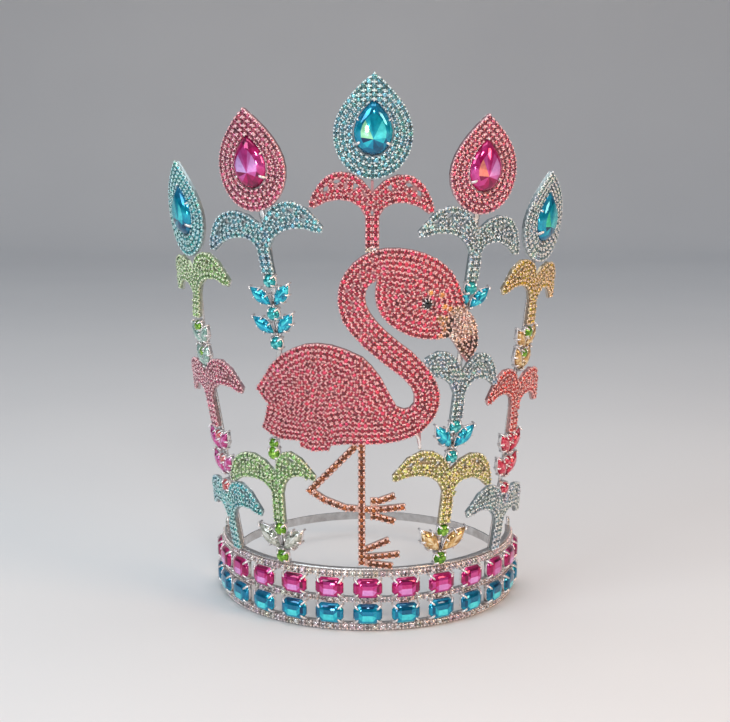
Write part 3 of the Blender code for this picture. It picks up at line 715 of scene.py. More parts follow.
# deep, middle, light and flash colours of the glasses in the sprays, for the painted light and shade on
# their facets
SPRAY_TONES = {
    "green": ((0.008, 0.045, 0.0), (0.055, 0.22, 0.004), (0.17, 0.42, 0.015), (0.52, 0.88, 0.14)),
    "teal": ((0.0, 0.06, 0.075), (0.0, 0.24, 0.27), (0.02, 0.46, 0.48), (0.26, 0.95, 0.90)),
    "coral": ((0.16, 0.01, 0.02), (0.60, 0.06, 0.08), (0.80, 0.20, 0.20), (1.0, 0.62, 0.58)),
    "blue": ((0.0, 0.07, 0.14), (0.0, 0.27, 0.46), (0.01, 0.52, 0.72), (0.12, 0.95, 0.98)),
    "rose": ((0.15, 0.004, 0.05), (0.55, 0.02, 0.17), (0.76, 0.13, 0.42), (0.98, 0.52, 0.86)),
    "mint": ((0.06, 0.14, 0.12), (0.24, 0.42, 0.36), (0.50, 0.70, 0.60), (0.88, 1.0, 0.92)),
    "clear": ((0.13, 0.13, 0.11), (0.36, 0.37, 0.31), (0.62, 0.63, 0.54), (0.96, 0.97, 0.90)),
    "champagne": ((0.16, 0.07, 0.02), (0.50, 0.28, 0.09), (0.80, 0.52, 0.20), (1.0, 0.86, 0.55)),
    "red": ((0.15, 0.002, 0.01), (0.55, 0.01, 0.05), (0.80, 0.06, 0.12), (1.0, 0.42, 0.46)),
}
SPRAY_SLOTS = {"green": "green_pave", "teal": "aqua_glass", "coral": "rose_pave", "blue": "aqua_glass",
               "rose": "fuchsia_glass", "mint": "green_pave", "clear": "silver_plate",
               "champagne": "yellow_pave", "red": "red_pave"}

# column, height of the centre, size as a share of the drawn stone, glass
ROUNDS = (
    ("far_left", 33.4, 1.2, "coral"),
    ("far_left", 47.4, 0.96, "coral"),
    ("far_left", 59.8, 0.96, "coral"),
    ("far_left", 102.0, 0.96, "green"),
    ("far_left", 115.2, 1.08, "green"),
    ("left", 3.9, 1.26, "green"),
    ("left", 18.1, 1.2, "green"),
    ("left", 57.4, 1.2, "green"),
    ("left", 62.3, 0.96, "green"),
    ("left", 112.9, 1.2, "teal"),
    ("left", 127.0, 1.2, "teal"),
    ("left", 142.6, 1.2, "teal"),
    ("right", 3.9, 1.26, "green"),
    ("right", 18.4, 1.2, "green"),
    ("right", 56.3, 1.2, "teal"),
    ("right", 71.6, 1.2, "teal"),
    ("right", 139.0, 1.2, "teal"),
    ("far_right", 33.0, 1.2, "red"),
    ("far_right", 47.4, 0.96, "red"),
    ("far_right", 59.4, 0.96, "red"),
    ("far_right", 102.6, 0.96, "green"),
    ("far_right", 113.3, 1.08, "green"),
)


def antiprism(low, high, sides):
    """Triangles between a ring and the next one, turned on by half a step."""
    k = np.arange(sides)
    step = (k + 1) % sides
    return np.concatenate([np.stack([low + k, low + step, high + k], axis=-1),
                           np.stack([low + step, high + step, high + k], axis=-1)])


def brilliant(rings, heart):
    """Closed gem: a wall to the girdle, kite-like triangles up to the table, and a fan on it."""
    sides = len(rings[0])
    points = np.concatenate(list(rings) + [np.array([heart])])
    last = (len(rings) - 1) * sides
    k = np.arange(sides)
    walls = grid_faces(3, sides, True)
    kites = np.concatenate([antiprism(level * sides, (level + 1) * sides, sides)
                            for level in range(2, len(rings) - 1)])
    fan = np.stack([last + k, last + (k + 1) % sides, np.full(sides, last + sides)], axis=-1)
    return points, [walls, kites, fan, k[None, ::-1]]


def round_gem():
    """Ten-sided brilliant, 5.6 mm across, its table about half as wide."""
    return brilliant([raised(flat_ring(10, 2.1), 0.5), raised(flat_ring(10, 2.72), 1.9),
                      raised(flat_ring(10, 2.8), 2.3), raised(flat_ring(10, 2.25, 0.5), 3.3),
                      raised(flat_ring(10, 1.45, 1.0), 4.0)], (0.0, 0.0, 4.0))


def round_seat():
    """Cup with four claws round a brilliant."""
    path = ((-0.05, 0.3, 0.48), (-0.05, 2.5, 0.48), (0.55, 3.4, 0.42), (1.2, 3.95, 0.26))
    claws = [claw(foot, -foot, path) for foot in flat_ring(4, 2.85, 0.5)]
    cup = lofted([raised(flat_ring(10, 2.2), 0.0), raised(flat_ring(10, 2.95), 1.5),
                  raised(flat_ring(10, 3.0), 2.05), raised(flat_ring(10, 2.7), 2.15)])
    return join_shapes(claws + [cup])


def spray_tones(blocks, tones, count, seed):
    """Painted light and shade on the facets of one lot of stones: each has a painted bright and dark
    side, and painted flashes at random.
    """
    dice = np.random.default_rng(seed)
    parts = []
    for block, lift in zip(blocks, (0.6, 1.6, 1.9, 0.2)):
        each = len(block) // count
        sway = np.cos(math.tau * np.arange(each) / each * 2.0 + 0.8)
        levels = lift + 0.55 * sway[None] + dice.normal(0.0, 0.55, (count, each))
        parts.append(toned(tones, levels).reshape(-1, 3))
    return np.concatenate(parts)


def set_sprays(name, gem, seat, glasses, origins, axes, shares, seed):
    """Large stones of one cut, a piece for each glass, and one piece with all their cups."""
    for lot, glass in enumerate(sorted(set(glasses))):
        chosen = np.array([each == glass for each in glasses])
        gems = repeat(gem, origins[chosen], axes[chosen], shares[chosen])
        piece = fixed_piece(f"{name}_{glass}", gems, GEM_GLASS, SPRAY_SLOTS[glass])
        facet_tint(piece, spray_tones(gems[1], SPRAY_TONES[glass], chosen.sum(), seed + lot))
    fixed_piece(name + "_cups", repeat(seat, origins, axes, shares), PRONG_SILVER, "silver_plate")


columns, heights, shares, glasses = zip(*ROUNDS)
heights = np.array(heights)
angles = np.array([column_angle(column, height) for column, height in zip(columns, heights)])
set_sprays("spray_round", round_gem(), round_seat(), glasses, on_cone(angles, heights, SPRAY_BACK),
           cone_axes(angles, np.zeros(len(angles))), np.array(shares), seed=61)


# End tips: a small pointed crystal in a cup at each end of the band, soldered
# upright on the end post where the strap begins.
LEAF_LENGTH = 13.4
LEAF_WIDTH = 6.4
TIP_ANGLES = (-88.6, 88.6)
TIP_LEVEL = 33.2
TIP_SINK = 1.6
TIP_SHARE = 0.46


def leaf_ring(share, level, phase=0.0, steps=7):
    """Pointed oval: width follows half a sine wave from tip to tip, anticlockwise from below."""
    t = (np.arange(2 * steps) + phase) / steps
    side = np.where(t <= 1.0, 1.0, -1.0)
    climb = np.where(t <= 1.0, t, 2.0 - t)
    x = side * 0.5 * LEAF_WIDTH * np.sin(math.pi * climb)
    y = LEAF_LENGTH * (climb - 0.5)
    return raised(np.stack([x, y], axis=-1) * share, level)


def leaf_gem():
    """Marquise: pointed ovals shrinking to a narrow table."""
    return brilliant([leaf_ring(0.80, 0.5), leaf_ring(0.94, 1.8), leaf_ring(0.96, 2.2),
                      leaf_ring(0.74, 3.3, 0.5), leaf_ring(0.46, 3.95, 1.0)], (0.0, -1.2, 3.95))


def leaf_seat():
    """Cup along the marquise with a claw at each tip and two on each side."""
    path = ((-0.1, 0.3, 0.40), (-0.1, 2.4, 0.40), (0.5, 3.3, 0.36), (1.15, 3.8, 0.22))
    spots = ((0.0, 6.5), (0.0, -6.5), (2.75, 2.3), (-2.75, 2.3), (2.75, -2.3), (-2.75, -2.3))
    claws = [claw(spot, (-spot[0], -spot[1] * (0.25 if spot[0] else 1.0)), path) for spot in spots]
    cup = lofted([leaf_ring(0.84, 0.0), leaf_ring(0.98, 1.5), leaf_ring(1.0, 1.95),
                  leaf_ring(0.92, 2.05)])
    return join_shapes(claws + [cup])


axes = ring_axes(np.array(TIP_ANGLES))
origins = RING + axes[:, 2] * (BAND_OUTER - TIP_SINK) * MM + axes[:, 1] * TIP_LEVEL * MM
gems = repeat(leaf_gem(), origins, axes, TIP_SHARE)
tips = fixed_piece("end_tip_stones", gems, CRYSTAL_GLASS, "silver_plate")
facet_tint(tips, spray_tones(gems[1], SPRAY_TONES["clear"], len(TIP_ANGLES), seed=63))
fixed_piece("end_tip_cups", repeat(leaf_seat(), origins, axes, TIP_SHARE), PRONG_SILVER, "silver_plate")


# Leaves: marquise stones of coloured glass in pointed cups with six claws. They
# are soldered to the uprights by their feet, in pairs that lean outwards.
LEAF_OFFSET = 0.6
# column, height of the feet, lean of the left and right leaf from upright, size as a share of
# the drawn leaf, glass
LEAVES = (
    ("far_left", 39.6, 34.0, 38.0, 1.058, "rose"),
    ("far_left", 51.9, 34.0, 38.0, 1.058, "rose"),
    ("far_left", 94.0, 26.0, 22.0, 0.989, "mint"),
    ("far_left", 105.8, 32.0, 38.0, 0.989, "mint"),
    ("left", 7.4, 45.0, 47.0, 1.265, "clear"),
    ("left", 117.0, 54.0, 40.0, 1.058, "blue"),
    ("left", 130.6, 52.0, 38.0, 1.058, "blue"),
    ("right", 7.4, 42.0, 48.0, 1.265, "champagne"),
    ("right", 60.8, 38.0, 44.0, 1.15, "blue"),
    ("right", 129.2, None, 46.0, 1.058, "blue"),
    ("right", 130.2, 9.0, None, 0.69, "blue"),
    ("far_right", 39.2, 38.0, 32.0, 1.058, "red"),
    ("far_right", 51.4, 38.0, 32.0, 1.058, "red"),
    ("far_right", 94.2, 24.0, 26.0, 1.012, "champagne"),
    ("far_right", 105.2, 38.0, 32.0, 1.012, "champagne"),
)

leaves = [(column, height, side, lean, share, glass)
          for column, height, left_lean, right_lean, share, glass in LEAVES
          for side, lean in ((-1.0, left_lean), (1.0, right_lean)) if lean is not None]
columns, heights, sides, leans, shares, glasses = zip(*leaves)
heights, sides, leans, shares = map(np.array, (heights, sides, leans, shares))
angles = np.array([column_angle(column, height) for column, height in zip(columns, heights)])
angles += sides * np.degrees(LEAF_OFFSET / (RIM_RADIUS + heights * math.sin(LEAN)))
axes = cone_axes(angles, -sides * leans)
origins = on_cone(angles, heights, SPRAY_BACK) + axes[:, 1] * (0.5 * LEAF_LENGTH * MM * shares)[:, None]
set_sprays("spray_leaf", leaf_gem(), leaf_seat(), glasses, origins, axes, shares, seed=67)


# Palm trees: plates of the same alloy, sawn flat, pierced and bent to the cone.
# Their small stones run in rows along the fronds' edges and in two up the trunk.
TRUNK_HALF_WIDTH = 3.1
TRUNK_TOP = -10.8
FROND_OUTER = ((6.5, 11.0), (22.0, 15.0), (29.4, -5.2))
FROND_UNDER = ((6.0, -2.2), (18.0, -1.4), (27.2, -8.2))
# across, up, half length and direction of each four-cornered gap in a frond
FROND_GAPS = ((7.6, 3.0, 2.3, 125.0), (16.6, 4.4, 1.8, 165.0), (21.6, 0.9, 1.8, 130.0))
# where along a gap's half length stones keep clear of it, and by how much
GAP_ROOMS = ((0.0, 2.4), (-0.6, 1.85), (0.6, 1.85))
# how many stones stand round a gap, how far past its ends and how far from its middle
GAP_RING = 7
GAP_RING_PAST = 1.2
GAP_RING_SIDE = 2.45
GAP_RING_EDGE = 1.35
# middle of the small gap in the trunk, and how far stones stay from it
TRUNK_GAP = (np.array((0.0, -9.2)), 1.45)
TRUNK_ROW_OFFSET = 1.55
TRUNK_ROW_TOP = -3.6
TIP_STONE_BACK = 1.1
STONE_LEAST = 2.4
STONE_MOST = 3.05
PAVE_PITCH = 3.0
# closest spacing of the stones that fill up what the rows leave, and their room at the edge
FILL_SPACING = 2.2
FILL_MARGIN = 1.15
FILL_GRID = 0.45
EVENING_ROUNDS = 50
EVENING_MARGIN = 1.1
# set of the cups and depth of the plate behind them
CUP_BACK = 0.85
PLATE_DEPTH = 0.85
# the sky-blue stones are painted deeper at the far left, as in the cool light from the left, and warmer
# at the right, as in the warm lamp from the right
SKY = (0.10, 0.28, 0.32)
SKY_PAINTED_COOL = (0.03, 0.26, 0.27)
SKY_PAINTED_WARM = (0.16, 0.25, 0.27)
GREEN = (0.20, 0.36, 0.12)
CHARTREUSE = (0.38, 0.36, 0.09)
GOLD = (0.36, 0.24, 0.015)
PINK = (0.42, 0.030, 0.062)
ROSE = (0.38, 0.07, 0.12)
RED = (0.52, 0.034, 0.025)

# name, column, fork height, foot height, (reach, turn) of the left and right frond, colour, slot
PALMS = (
    ("palm_far_left_low", "far_left", 27.2, 0.4, (0.9, 3.0), (0.9, 8.0), SKY_PAINTED_COOL, "sky_pave"),
    ("palm_far_left_middle", "far_left", 89.9, 64.6, (0.95, 8.0), (1.03, 7.0), ROSE, "rose_pave"),
    ("palm_far_left_high", "far_left", 142.8, 120.0, (0.95, 8.0), (0.98, 7.0), GREEN, "green_pave"),
    ("palm_left_low", "left", 47.5, 21.8, (1.1, 3.5), (0.68, 17.0), GREEN, "green_pave"),
    ("palm_left_high", "left", 168.4, 146.2, (1.15, 10.0), (0.99, 10.5), SKY, "sky_pave"),
    ("palm_centre", "centre", 184.2, 159.2, (0.95, -1.7), (0.96, -4.0), PINK, "pink_pave"),
    ("palm_right_low", "right", 49.6, 22.2, (0.96, -9.0), (0.93, -9.0), CHARTREUSE, "yellow_pave"),
    ("palm_right_middle", "right", 98.4, 75.4, (0.84, -11.0), (0.74, -2.0), SKY_PAINTED_WARM, "sky_pave"),
    ("palm_right_high", "right", 166.0, 142.6, (0.97, -11.0), (0.93, -11.5), SKY_PAINTED_WARM, "sky_pave"),
    ("palm_far_right_low", "far_right", 25.4, 0.4, (0.88, -12.0), (0.92, -7.0), SKY_PAINTED_WARM, "sky_pave"),
    ("palm_far_right_middle", "far_right", 87.4, 63.0, (0.76, -1.0), (0.95, -10.0), RED, "red_pave"),
    ("palm_far_right_high", "far_right", 140.6, 117.6, (0.86, -4.0), (0.9, -12.0), GOLD,
     "yellow_pave"),
)
# palm: share of its left crest and underside that is kept where the frond stops at the neck
CUT_SHORT = {"palm_right_middle": (0.8, 0.6)}


def laid(flat, angle, height, proud, turns):
    """Places of flat drawing points on the cone, with the directions that each one faces."""
    heights = height + flat[:, 1]
    angles = angle + np.degrees(flat[:, 0] / (RIM_RADIUS + heights * math.sin(LEAN)))
    return on_cone(angles, heights, proud), cone_axes(angles, turns)


def swung(points, degrees):
    """Flat points turned anticlockwise about the drawing's origin."""
    points = np.asarray(points, float)
    c, s = math.cos(math.radians(degrees)), math.sin(math.radians(degrees))
    return np.stack([points[..., 0] * c - points[..., 1] * s,
                     points[..., 0] * s + points[..., 1] * c], axis=-1)


def spaced(path, pitch):
    """Points at an even pitch along a polyline, and the direction of the line at each."""
    steps = np.linalg.norm(np.diff(path, axis=0), axis=1)
    run = np.concatenate(([0.0], np.cumsum(steps)))
    count = max(1, int(round(run[-1] / pitch)))
    at = (np.arange(count) + 0.5) * run[-1] / count

    def point(where):
        return np.stack([np.interp(where, run, path[:, axis]) for axis in (0, 1)], axis=-1)

    way = point(at + 0.3) - point(at - 0.3)
    return point(at), np.degrees(np.arctan2(way[:, 1], way[:, 0]))


def shifted(path, distance):
    """A polyline moved sideways to its left by a distance."""
    way = np.gradient(path, axis=0)
    way /= np.linalg.norm(way, axis=1)[:, None]
    return path + distance * np.stack([-way[:, 1], way[:, 0]], axis=-1)


def nearest(points, others):
    """Distance from each point to the closest of the others."""
    return np.linalg.norm(points[:, None] - others[None], axis=2).min(axis=1)


def nearest_kept(spots, spacing, holes=(), first=0):
    """Indices of the spots that stand clear of the ones kept before them and of the holes.
    The first few, which follow an edge, only keep clear of each other."""
    kept = []
    for k, spot in enumerate(spots):
        clear = not kept or np.min(np.linalg.norm(spots[kept] - spot, axis=1)) > spacing
        for hole, reach in holes if k >= first else ():
            clear = clear and np.linalg.norm(hole - spot) > reach
        if clear:
            kept.append(k)
    return kept


def settled(spots, turns, spacing, holes=(), first=0):
    """The spots that stand clear of each other and of the holes, and their turns."""
    kept = nearest_kept(spots, spacing, holes, first)
    return spots[kept], turns[kept]


def roomy(spots):
    """Size of each stone, as wide as its closest neighbour lets it be."""
    apart = np.linalg.norm(spots[:, None] - spots[None], axis=2)
    np.fill_diagonal(apart, STONE_MOST)
    return np.clip(apart.min(axis=1) * 1.05, STONE_LEAST, STONE_MOST)


def inside(points, outline):
    """True where a point lies within a closed outline, as a line from it crosses an odd number
    of the outline's edges."""
    x, y = points[:, :1], points[:, 1:]
    x0, y0 = outline.T
    x1, y1 = np.roll(outline, -1, axis=0).T
    rise = np.where(y1 == y0, 1e-9, y1 - y0)
    crossed = ((y0 > y) != (y1 > y)) & (x < x0 + (y - y0) * (x1 - x0) / rise)
    return crossed.sum(axis=1) % 2 == 1


def dense_line(outline, pitch):
    """Points at a short even pitch round a closed outline."""
    closed = np.concatenate([outline, outline[:1]])
    run = np.concatenate(([0.0], np.cumsum(np.linalg.norm(np.diff(closed, axis=0), axis=1))))
    at = np.arange(0.0, run[-1], pitch)
    return np.stack([np.interp(at, run, closed[:, axis]) for axis in (0, 1)], axis=-1)


def filled_in(spots, turns, outline, spacing, margin, holes=()):
    """Add stones where the rows left room, always the one that sits tightest to its neighbours."""
    low, high = outline.min(axis=0), outline.max(axis=0)
    across, up = np.meshgrid(*[np.arange(low[k], high[k], FILL_GRID) for k in (0, 1)])
    grid = np.stack([across.ravel(), up.ravel()], axis=-1)
    grid = grid[inside(grid, outline)]
    grid = grid[nearest(grid, spots) > spacing]
    grid = grid[nearest(grid, outline) > margin]
    for hole, reach in holes:
        grid = grid[np.linalg.norm(grid - hole, axis=1) > reach]
    while len(grid):
        away = nearest(grid, spots)
        best = grid[np.argmin(away)]
        closest = np.argmin(np.linalg.norm(spots - best, axis=1))
        spots = np.vstack([spots, best])
        turns = np.append(turns, turns[closest])
        grid = grid[np.linalg.norm(grid - best, axis=1) > spacing]
    return spots, turns


def evened(spots, loose, outline, rest, margin, holes=()):
    """Loose stones pushed apart in small steps until they share the room between the others."""
    for _ in range(EVENING_ROUNDS):
        apart = spots[:, None] - spots[None]
        gap = np.linalg.norm(apart, axis=2)
        np.fill_diagonal(gap, rest)
        push = np.maximum(rest - gap, 0.0) / np.maximum(gap, 0.2)
        moved = spots + 0.25 * np.einsum("ij,ijk->ik", push, apart)
        free = loose & (nearest(moved, outline) > margin)
        for hole, reach in holes:
            free &= np.linalg.norm(moved - hole, axis=1) > reach
        spots = np.where(free[:, None], moved, spots)
    return spots


def curve(start, first, second, end, steps=60):
    """Cubic curve between two points, pulled by two others."""
    t = np.linspace(0.0, 1.0, steps)[:, None]
    controls = np.array([start, first, second, end])
    return ((1 - t) ** 3 * controls[0] + 3 * t * (1 - t) ** 2 * controls[1]
            + 3 * t * t * (1 - t) * controls[2] + t ** 3 * controls[3])


def frond_edges(side, reach, turn):
    """Crest and underside of a frond, each a curve from the trunk to the tip."""
    scale = np.array((side * reach, 1.0))
    outer = [swung(np.array(point) * scale, turn) for point in FROND_OUTER]
    under = [swung(np.array(point) * scale, turn) for point in FROND_UNDER]
    return curve((0.0, 0.0), *outer), curve((side * TRUNK_HALF_WIDTH, TRUNK_TOP), *under)


def frond_gaps(side, reach, turn):
    """Rooms that stones leave free round the gaps in a frond, and an oval of places round each."""
    rooms, ovals = [], []
    a = np.linspace(0.0, math.tau, GAP_RING, endpoint=False)
    for across, up, half_length, direction in FROND_GAPS:
        lean = direction if side > 0 else 180.0 - direction
        middle = np.array((side * reach * across, up))
        for share, clear in GAP_ROOMS:
            rooms.append((swung(middle + swung((half_length * share, 0.0), lean), turn), clear))
        oval = np.stack([(half_length + GAP_RING_PAST) * np.cos(a), GAP_RING_SIDE * np.sin(a)], axis=-1)
        ovals.append(swung(middle + swung(oval, lean), turn))
    return rooms, ovals


def frond_tip(crest, belly):
    """Place of the single stone at a frond's tip, a little back from where its edges meet."""
    back = (crest[-8] + belly[-8] - crest[-1] - belly[-1]) / 2.0
    return (crest[-1] + belly[-1]) / 2.0 + back / np.linalg.norm(back) * TIP_STONE_BACK


def frond_ribs(crest, belly):
    """Short rows across a frond, in the room between the rows along its two edges."""
    ribs = []
    for k in range(2, min(len(crest), len(belly)) - 4):
        count = int(np.linalg.norm(crest[k] - belly[k]) // (PAVE_PITCH * 0.93))
        if count > 2:
            share = (np.arange(1, count - 1) + 0.5) / count
            ribs.append(belly[k] + (crest[k] - belly[k]) * share[:, None])
    return ribs


def trunk_rows(foot, foot_offset):
    """Two rows of stones side by side from the foot of the trunk up to the fork."""
    up = np.arange(foot + PAVE_PITCH / 2.0, TRUNK_ROW_TOP, PAVE_PITCH * 0.985)
    lean = np.interp(up, (foot, TRUNK_TOP), (foot_offset, 0.0))
    return [np.column_stack([lean + side * TRUNK_ROW_OFFSET, up]) for side in (-1.0, 1.0)]


def palm_stones(foot, foot_offset, left, right, kept):
    """Places and turns of a palm's stones: first the tips, the rows along the edges, the rings
    round the gaps and the trunk's rows, then short rows and single stones in what is left."""
    half = PAVE_PITCH / 2.0
    rooms, tips, rows, ovals, ribs, outline = [TRUNK_GAP], [], [], [], [], []
    for side, (reach, turn) in ((1.0, right), (-1.0, left)):
        crest, belly = frond_edges(side, reach, turn)
        crest_row, belly_row = shifted(crest, -side * half), shifted(belly, side * half)
        if side < 0 and kept != (1.0, 1.0):
            ends = [int(len(crest) * share) for share in kept]
            crest, belly = crest[:ends[0]], belly[:ends[1]]
            crest_row, belly_row = crest_row[:ends[0] - 3], belly_row[:ends[1] - 3]
        else:
            tip = frond_tip(crest, belly)
            tips.append(tip)
            crest_row = crest_row[np.linalg.norm(crest_row - tip, axis=1) > half]
            belly_row = belly_row[np.linalg.norm(belly_row - tip, axis=1) > half]
            frond_rooms, frond_ovals = frond_gaps(side, reach, turn)
            rooms += frond_rooms
            ovals += frond_ovals
        rows += [spaced(crest_row, PAVE_PITCH), spaced(belly_row, PAVE_PITCH)]
        outline += [crest, belly]
        ribs += frond_ribs(crest, belly)
    right_crest, right_belly, left_crest, left_belly = outline
    corners = [[(foot_offset + side * TRUNK_HALF_WIDTH, foot)] for side in (1.0, -1.0)]
    edge = np.concatenate([corners[0], right_belly, right_crest[::-1], left_crest, left_belly[::-1],
                           corners[1]])
    edge_line = dense_line(edge, 0.5)
    ring = np.concatenate(ovals)
    ring = ring[inside(ring, edge) & (nearest(ring, edge_line) > GAP_RING_EDGE)]
    fixed = [np.array(tips)] + [places for places, ways in rows] + [ring] + trunk_rows(foot, foot_offset)
    spots = np.concatenate(fixed + ribs)
    known = np.concatenate([np.zeros(len(tips))] + [ways for places, ways in rows])
    turns = np.append(known, np.zeros(len(spots) - len(known)))
    spots, turns = settled(spots, turns, PAVE_PITCH * 0.84, rooms, len(known))
    loose = nearest(spots, np.concatenate(fixed)) >= 0.01
    spots, turns = filled_in(spots, turns, edge, FILL_SPACING, FILL_MARGIN, rooms)
    loose = np.append(loose, np.ones(len(spots) - len(loose), bool))
    return evened(spots, loose, edge_line, PAVE_PITCH * 0.95, EVENING_MARGIN, rooms), turns


def paved_plate(name, colour):
    """Plate behind the stones: bright and rubbed on its back; its front is painted darker as shade
    between the stones and tinted with their reflected colour.
    """
    material, tree, shader, add = node_material(name)
    place = add("ShaderNodeTexCoord")
    centre = add("ShaderNodeVectorMath", {1: tuple(RING)}, operation="SUBTRACT")
    level = add("ShaderNodeVectorMath", {1: (1.0, 1.0, 0.0)}, operation="MULTIPLY")
    outwards = add("ShaderNodeVectorMath", operation="NORMALIZE")
    facing = add("ShaderNodeVectorMath", operation="DOT_PRODUCT")
    rub = add("ShaderNodeGroup", {"Scale": 420.0}, node_tree=RUB)
    bare = ramp(add, (0.0, (0.58, 0.56, 0.54)), (0.5, (0.90, 0.88, 0.86)))
    front = add("ShaderNodeMapRange", {"From Min": -0.4, "From Max": 0.1})
    # painted shade and reflected stone colour on the plate's front
    painted_shade_and_glow = 0.45 * np.array((0.62, 0.57, 0.56)) + 0.55 * np.array(colour)
    tint = add("ShaderNodeMix", {"B": (*painted_shade_and_glow, 1.0)}, data_type="RGBA")
    rough = add("ShaderNodeMapRange", {"To Min": 0.36, "To Max": 0.5})
    link(tree, (place, "Object", centre, 0), (centre, "Vector", level, 0),
         (level, "Vector", outwards, 0), (outwards, "Vector", facing, 0),
         (place, "Normal", facing, 1), (rub, "Rub", bare, "Fac"),
         (facing, "Value", front, "Value"), (facing, "Value", rough, "Value"),
         (front, "Result", tint, "Factor"), (bare, "Color", tint, "A"),
         (tint, "Result", shader, "Base Color"), (rough, "Result", shader, "Roughness"))
    shader.inputs["Metallic"].default_value = 1.0
    return material


PLATES = {slot: paved_plate("plate_with_" + slot, colour)
          for slot, colour in (("sky_pave", SKY), ("green_pave", GREEN), ("yellow_pave", GOLD),
                               ("pink_pave", PINK), ("rose_pave", ROSE), ("red_pave", RED))}

for seed, (name, column, fork, foot, left, right, colour, slot) in enumerate(PALMS):
    angle = float(column_angle(column, fork))
    foot_angle = float(column_angle(column, foot)) - angle
    foot_offset = math.radians(foot_angle) * (RIM_RADIUS + foot * math.sin(LEAN))
    spots, turns = palm_stones(foot - fork, foot_offset, left, right, CUT_SHORT.get(name, (1.0, 1.0)))
    origins, axes = laid(spots, angle, fork, CUP_BACK, turns)
    set_stones(name, origins, axes, roomy(spots), colour, slot, PAVE_GLASS, seed=100 + 7 * seed,
               rear=PLATE_DEPTH)
    bpy.data.objects[name].material_slots[0].material = PLATES[slot]


# Teardrops: pierced plates bent to the cone, with three rings of small stones round
# the window. A large foiled pear stone lies over the window, held by five claws.
TEAR_WIDTH = 34.8
TEAR_HEIGHT = 46.4
TEAR_SHOULDER = 0.422
TEAR_CURVE = 1.95
PEAR_WIDTH = 17.2
PEAR_HEIGHT = 24.6
PEAR_RISE = 10.3
PEAR_BACK = -0.5
PEAR_ROOM = 0.5
TIP_STONE_TURN = 45.0
TEAR_STONE_LEAST = 2.85
TEAR_STONE_MOST = 3.35
# column, angle and height of the foot, turn, share of full height, frame and stone colours
TEARDROPS = (
    ("far_left", -58.8, 150.8, -1.5, 0.98, SKY_PAINTED_COOL, "sky_pave", "aqua"),
    ("left", -29.2, 175.0, 2.0, 1.0, ROSE, "rose_pave", "fuchsia"),
    ("centre", 1.1, 190.4, -1.0, 1.0, SKY, "sky_pave", "aqua"),
    ("right", 30.2, 173.6, 2.4, 0.97, ROSE, "rose_pave", "fuchsia"),
    ("far_right", 56.2, 148.4, 4.0, 0.93, SKY_PAINTED_WARM, "sky_pave", "aqua"),
)


def teardrop_line(width, height, steps=80):
    """From the tip down the left side, round the half ellipse of the foot and up the right side."""
    shoulder = TEAR_SHOULDER * height
    share = np.linspace(1.0, 0.0, steps)
    gable = np.stack([-0.5 * width * (1.0 - share ** TEAR_CURVE),
                      shoulder + (height - shoulder) * share], axis=-1)
    a = np.linspace(math.pi, math.tau, 2 * steps)[1:-1]
    foot = np.stack([0.5 * width * np.cos(a), shoulder + shoulder * np.sin(a)], axis=-1)
    return np.concatenate([gable, foot, gable[::-1] * (-1.0, 1.0)])


def around(line, count, phase=0.0):
    """Points at an even pitch round a closed line that starts at the tip."""
    run = np.concatenate(([0.0], np.cumsum(np.linalg.norm(np.diff(line, axis=0), axis=1))))
    at = (np.arange(count) + phase) % count * run[-1] / count
    return np.stack([np.interp(at, run, line[:, axis]) for axis in (0, 1)], axis=-1)


def teardrop_rows(height, rise):
    """Three closed rows of stones, shared out between the window's edge and the outer edge."""
    outer = teardrop_line(TEAR_WIDTH, height)
    inner = teardrop_line(PEAR_WIDTH + PEAR_ROOM, PEAR_HEIGHT + PEAR_ROOM) + (0.0, rise - PEAR_ROOM / 2.0)
    spots, turns, sizes = [], [], []
    for row in (2, 1, 0):
        path = inner + (outer - inner) * (row + 0.5) / 3.0
        length = np.linalg.norm(np.diff(path, axis=0), axis=1).sum()
        count = int(round(length / PAVE_PITCH))
        spots.append(around(path, count))
        way = around(path, count, 0.2) - spots[-1]
        turns.append(np.degrees(np.arctan2(way[:, 1], way[:, 0])))
        turns[-1][0] = TIP_STONE_TURN
        room = np.linalg.norm(around(outer, count) - around(inner, count), axis=1) / 3.0
        sizes.append(np.clip(room, TEAR_STONE_LEAST, TEAR_STONE_MOST))
    spots = np.concatenate(spots)
    kept = nearest_kept(spots, PAVE_PITCH * 0.78)
    return spots[kept], np.concatenate(turns)[kept], np.concatenate(sizes)[kept]


def pear_ring(share, level, phase=0.0, sides=16):
    """Pear outline about its shoulder's middle, shrunk by a share and lifted to a level."""
    ring = around(teardrop_line(PEAR_WIDTH, PEAR_HEIGHT, 200), sides, phase)
    centre = np.array((0.0, TEAR_SHOULDER * PEAR_HEIGHT))
    return raised((ring - centre) * share, level)


def pear_gem():
    """Back, girdle and crown of shrinking pear outlines, with a table fanned into facets."""
    return brilliant([pear_ring(0.76, 0.0), pear_ring(0.98, 1.4), pear_ring(1.0, 2.6),
                      pear_ring(0.86, 4.2, 0.5), pear_ring(0.66, 5.5, 1.0)], (0.0, -2.6, 5.5))


# painted light and shade of each crown and table facet of a pear, as a level from deep to flash
PEAR_WALL = (0.9, 0.6, 1.0, 1.3, 1.2, 1.0, 0.5, 0.1, 0.1, 0.4, 1.1, 1.4, 1.2, 0.8, 0.4, 0.4)
PEAR_TABLE = (1.6, 2.0, 3.2, 3.2, 3.1, 0.3, 1.9, 0.8, 0.3, 0.7, 2.3, 2.9, 3.0, 3.0, 2.1, 1.5)
# painted glint colour that each pear's brightest facets turn to
PEAR_GLINTS = {"far_left": (0.02, 0.85, 1.0), "left": (0.86, 0.48, 0.96), "centre": (0.42, 0.98, 0.56),
               "right": (1.0, 0.30, 0.24), "far_right": (0.05, 0.72, 0.42)}


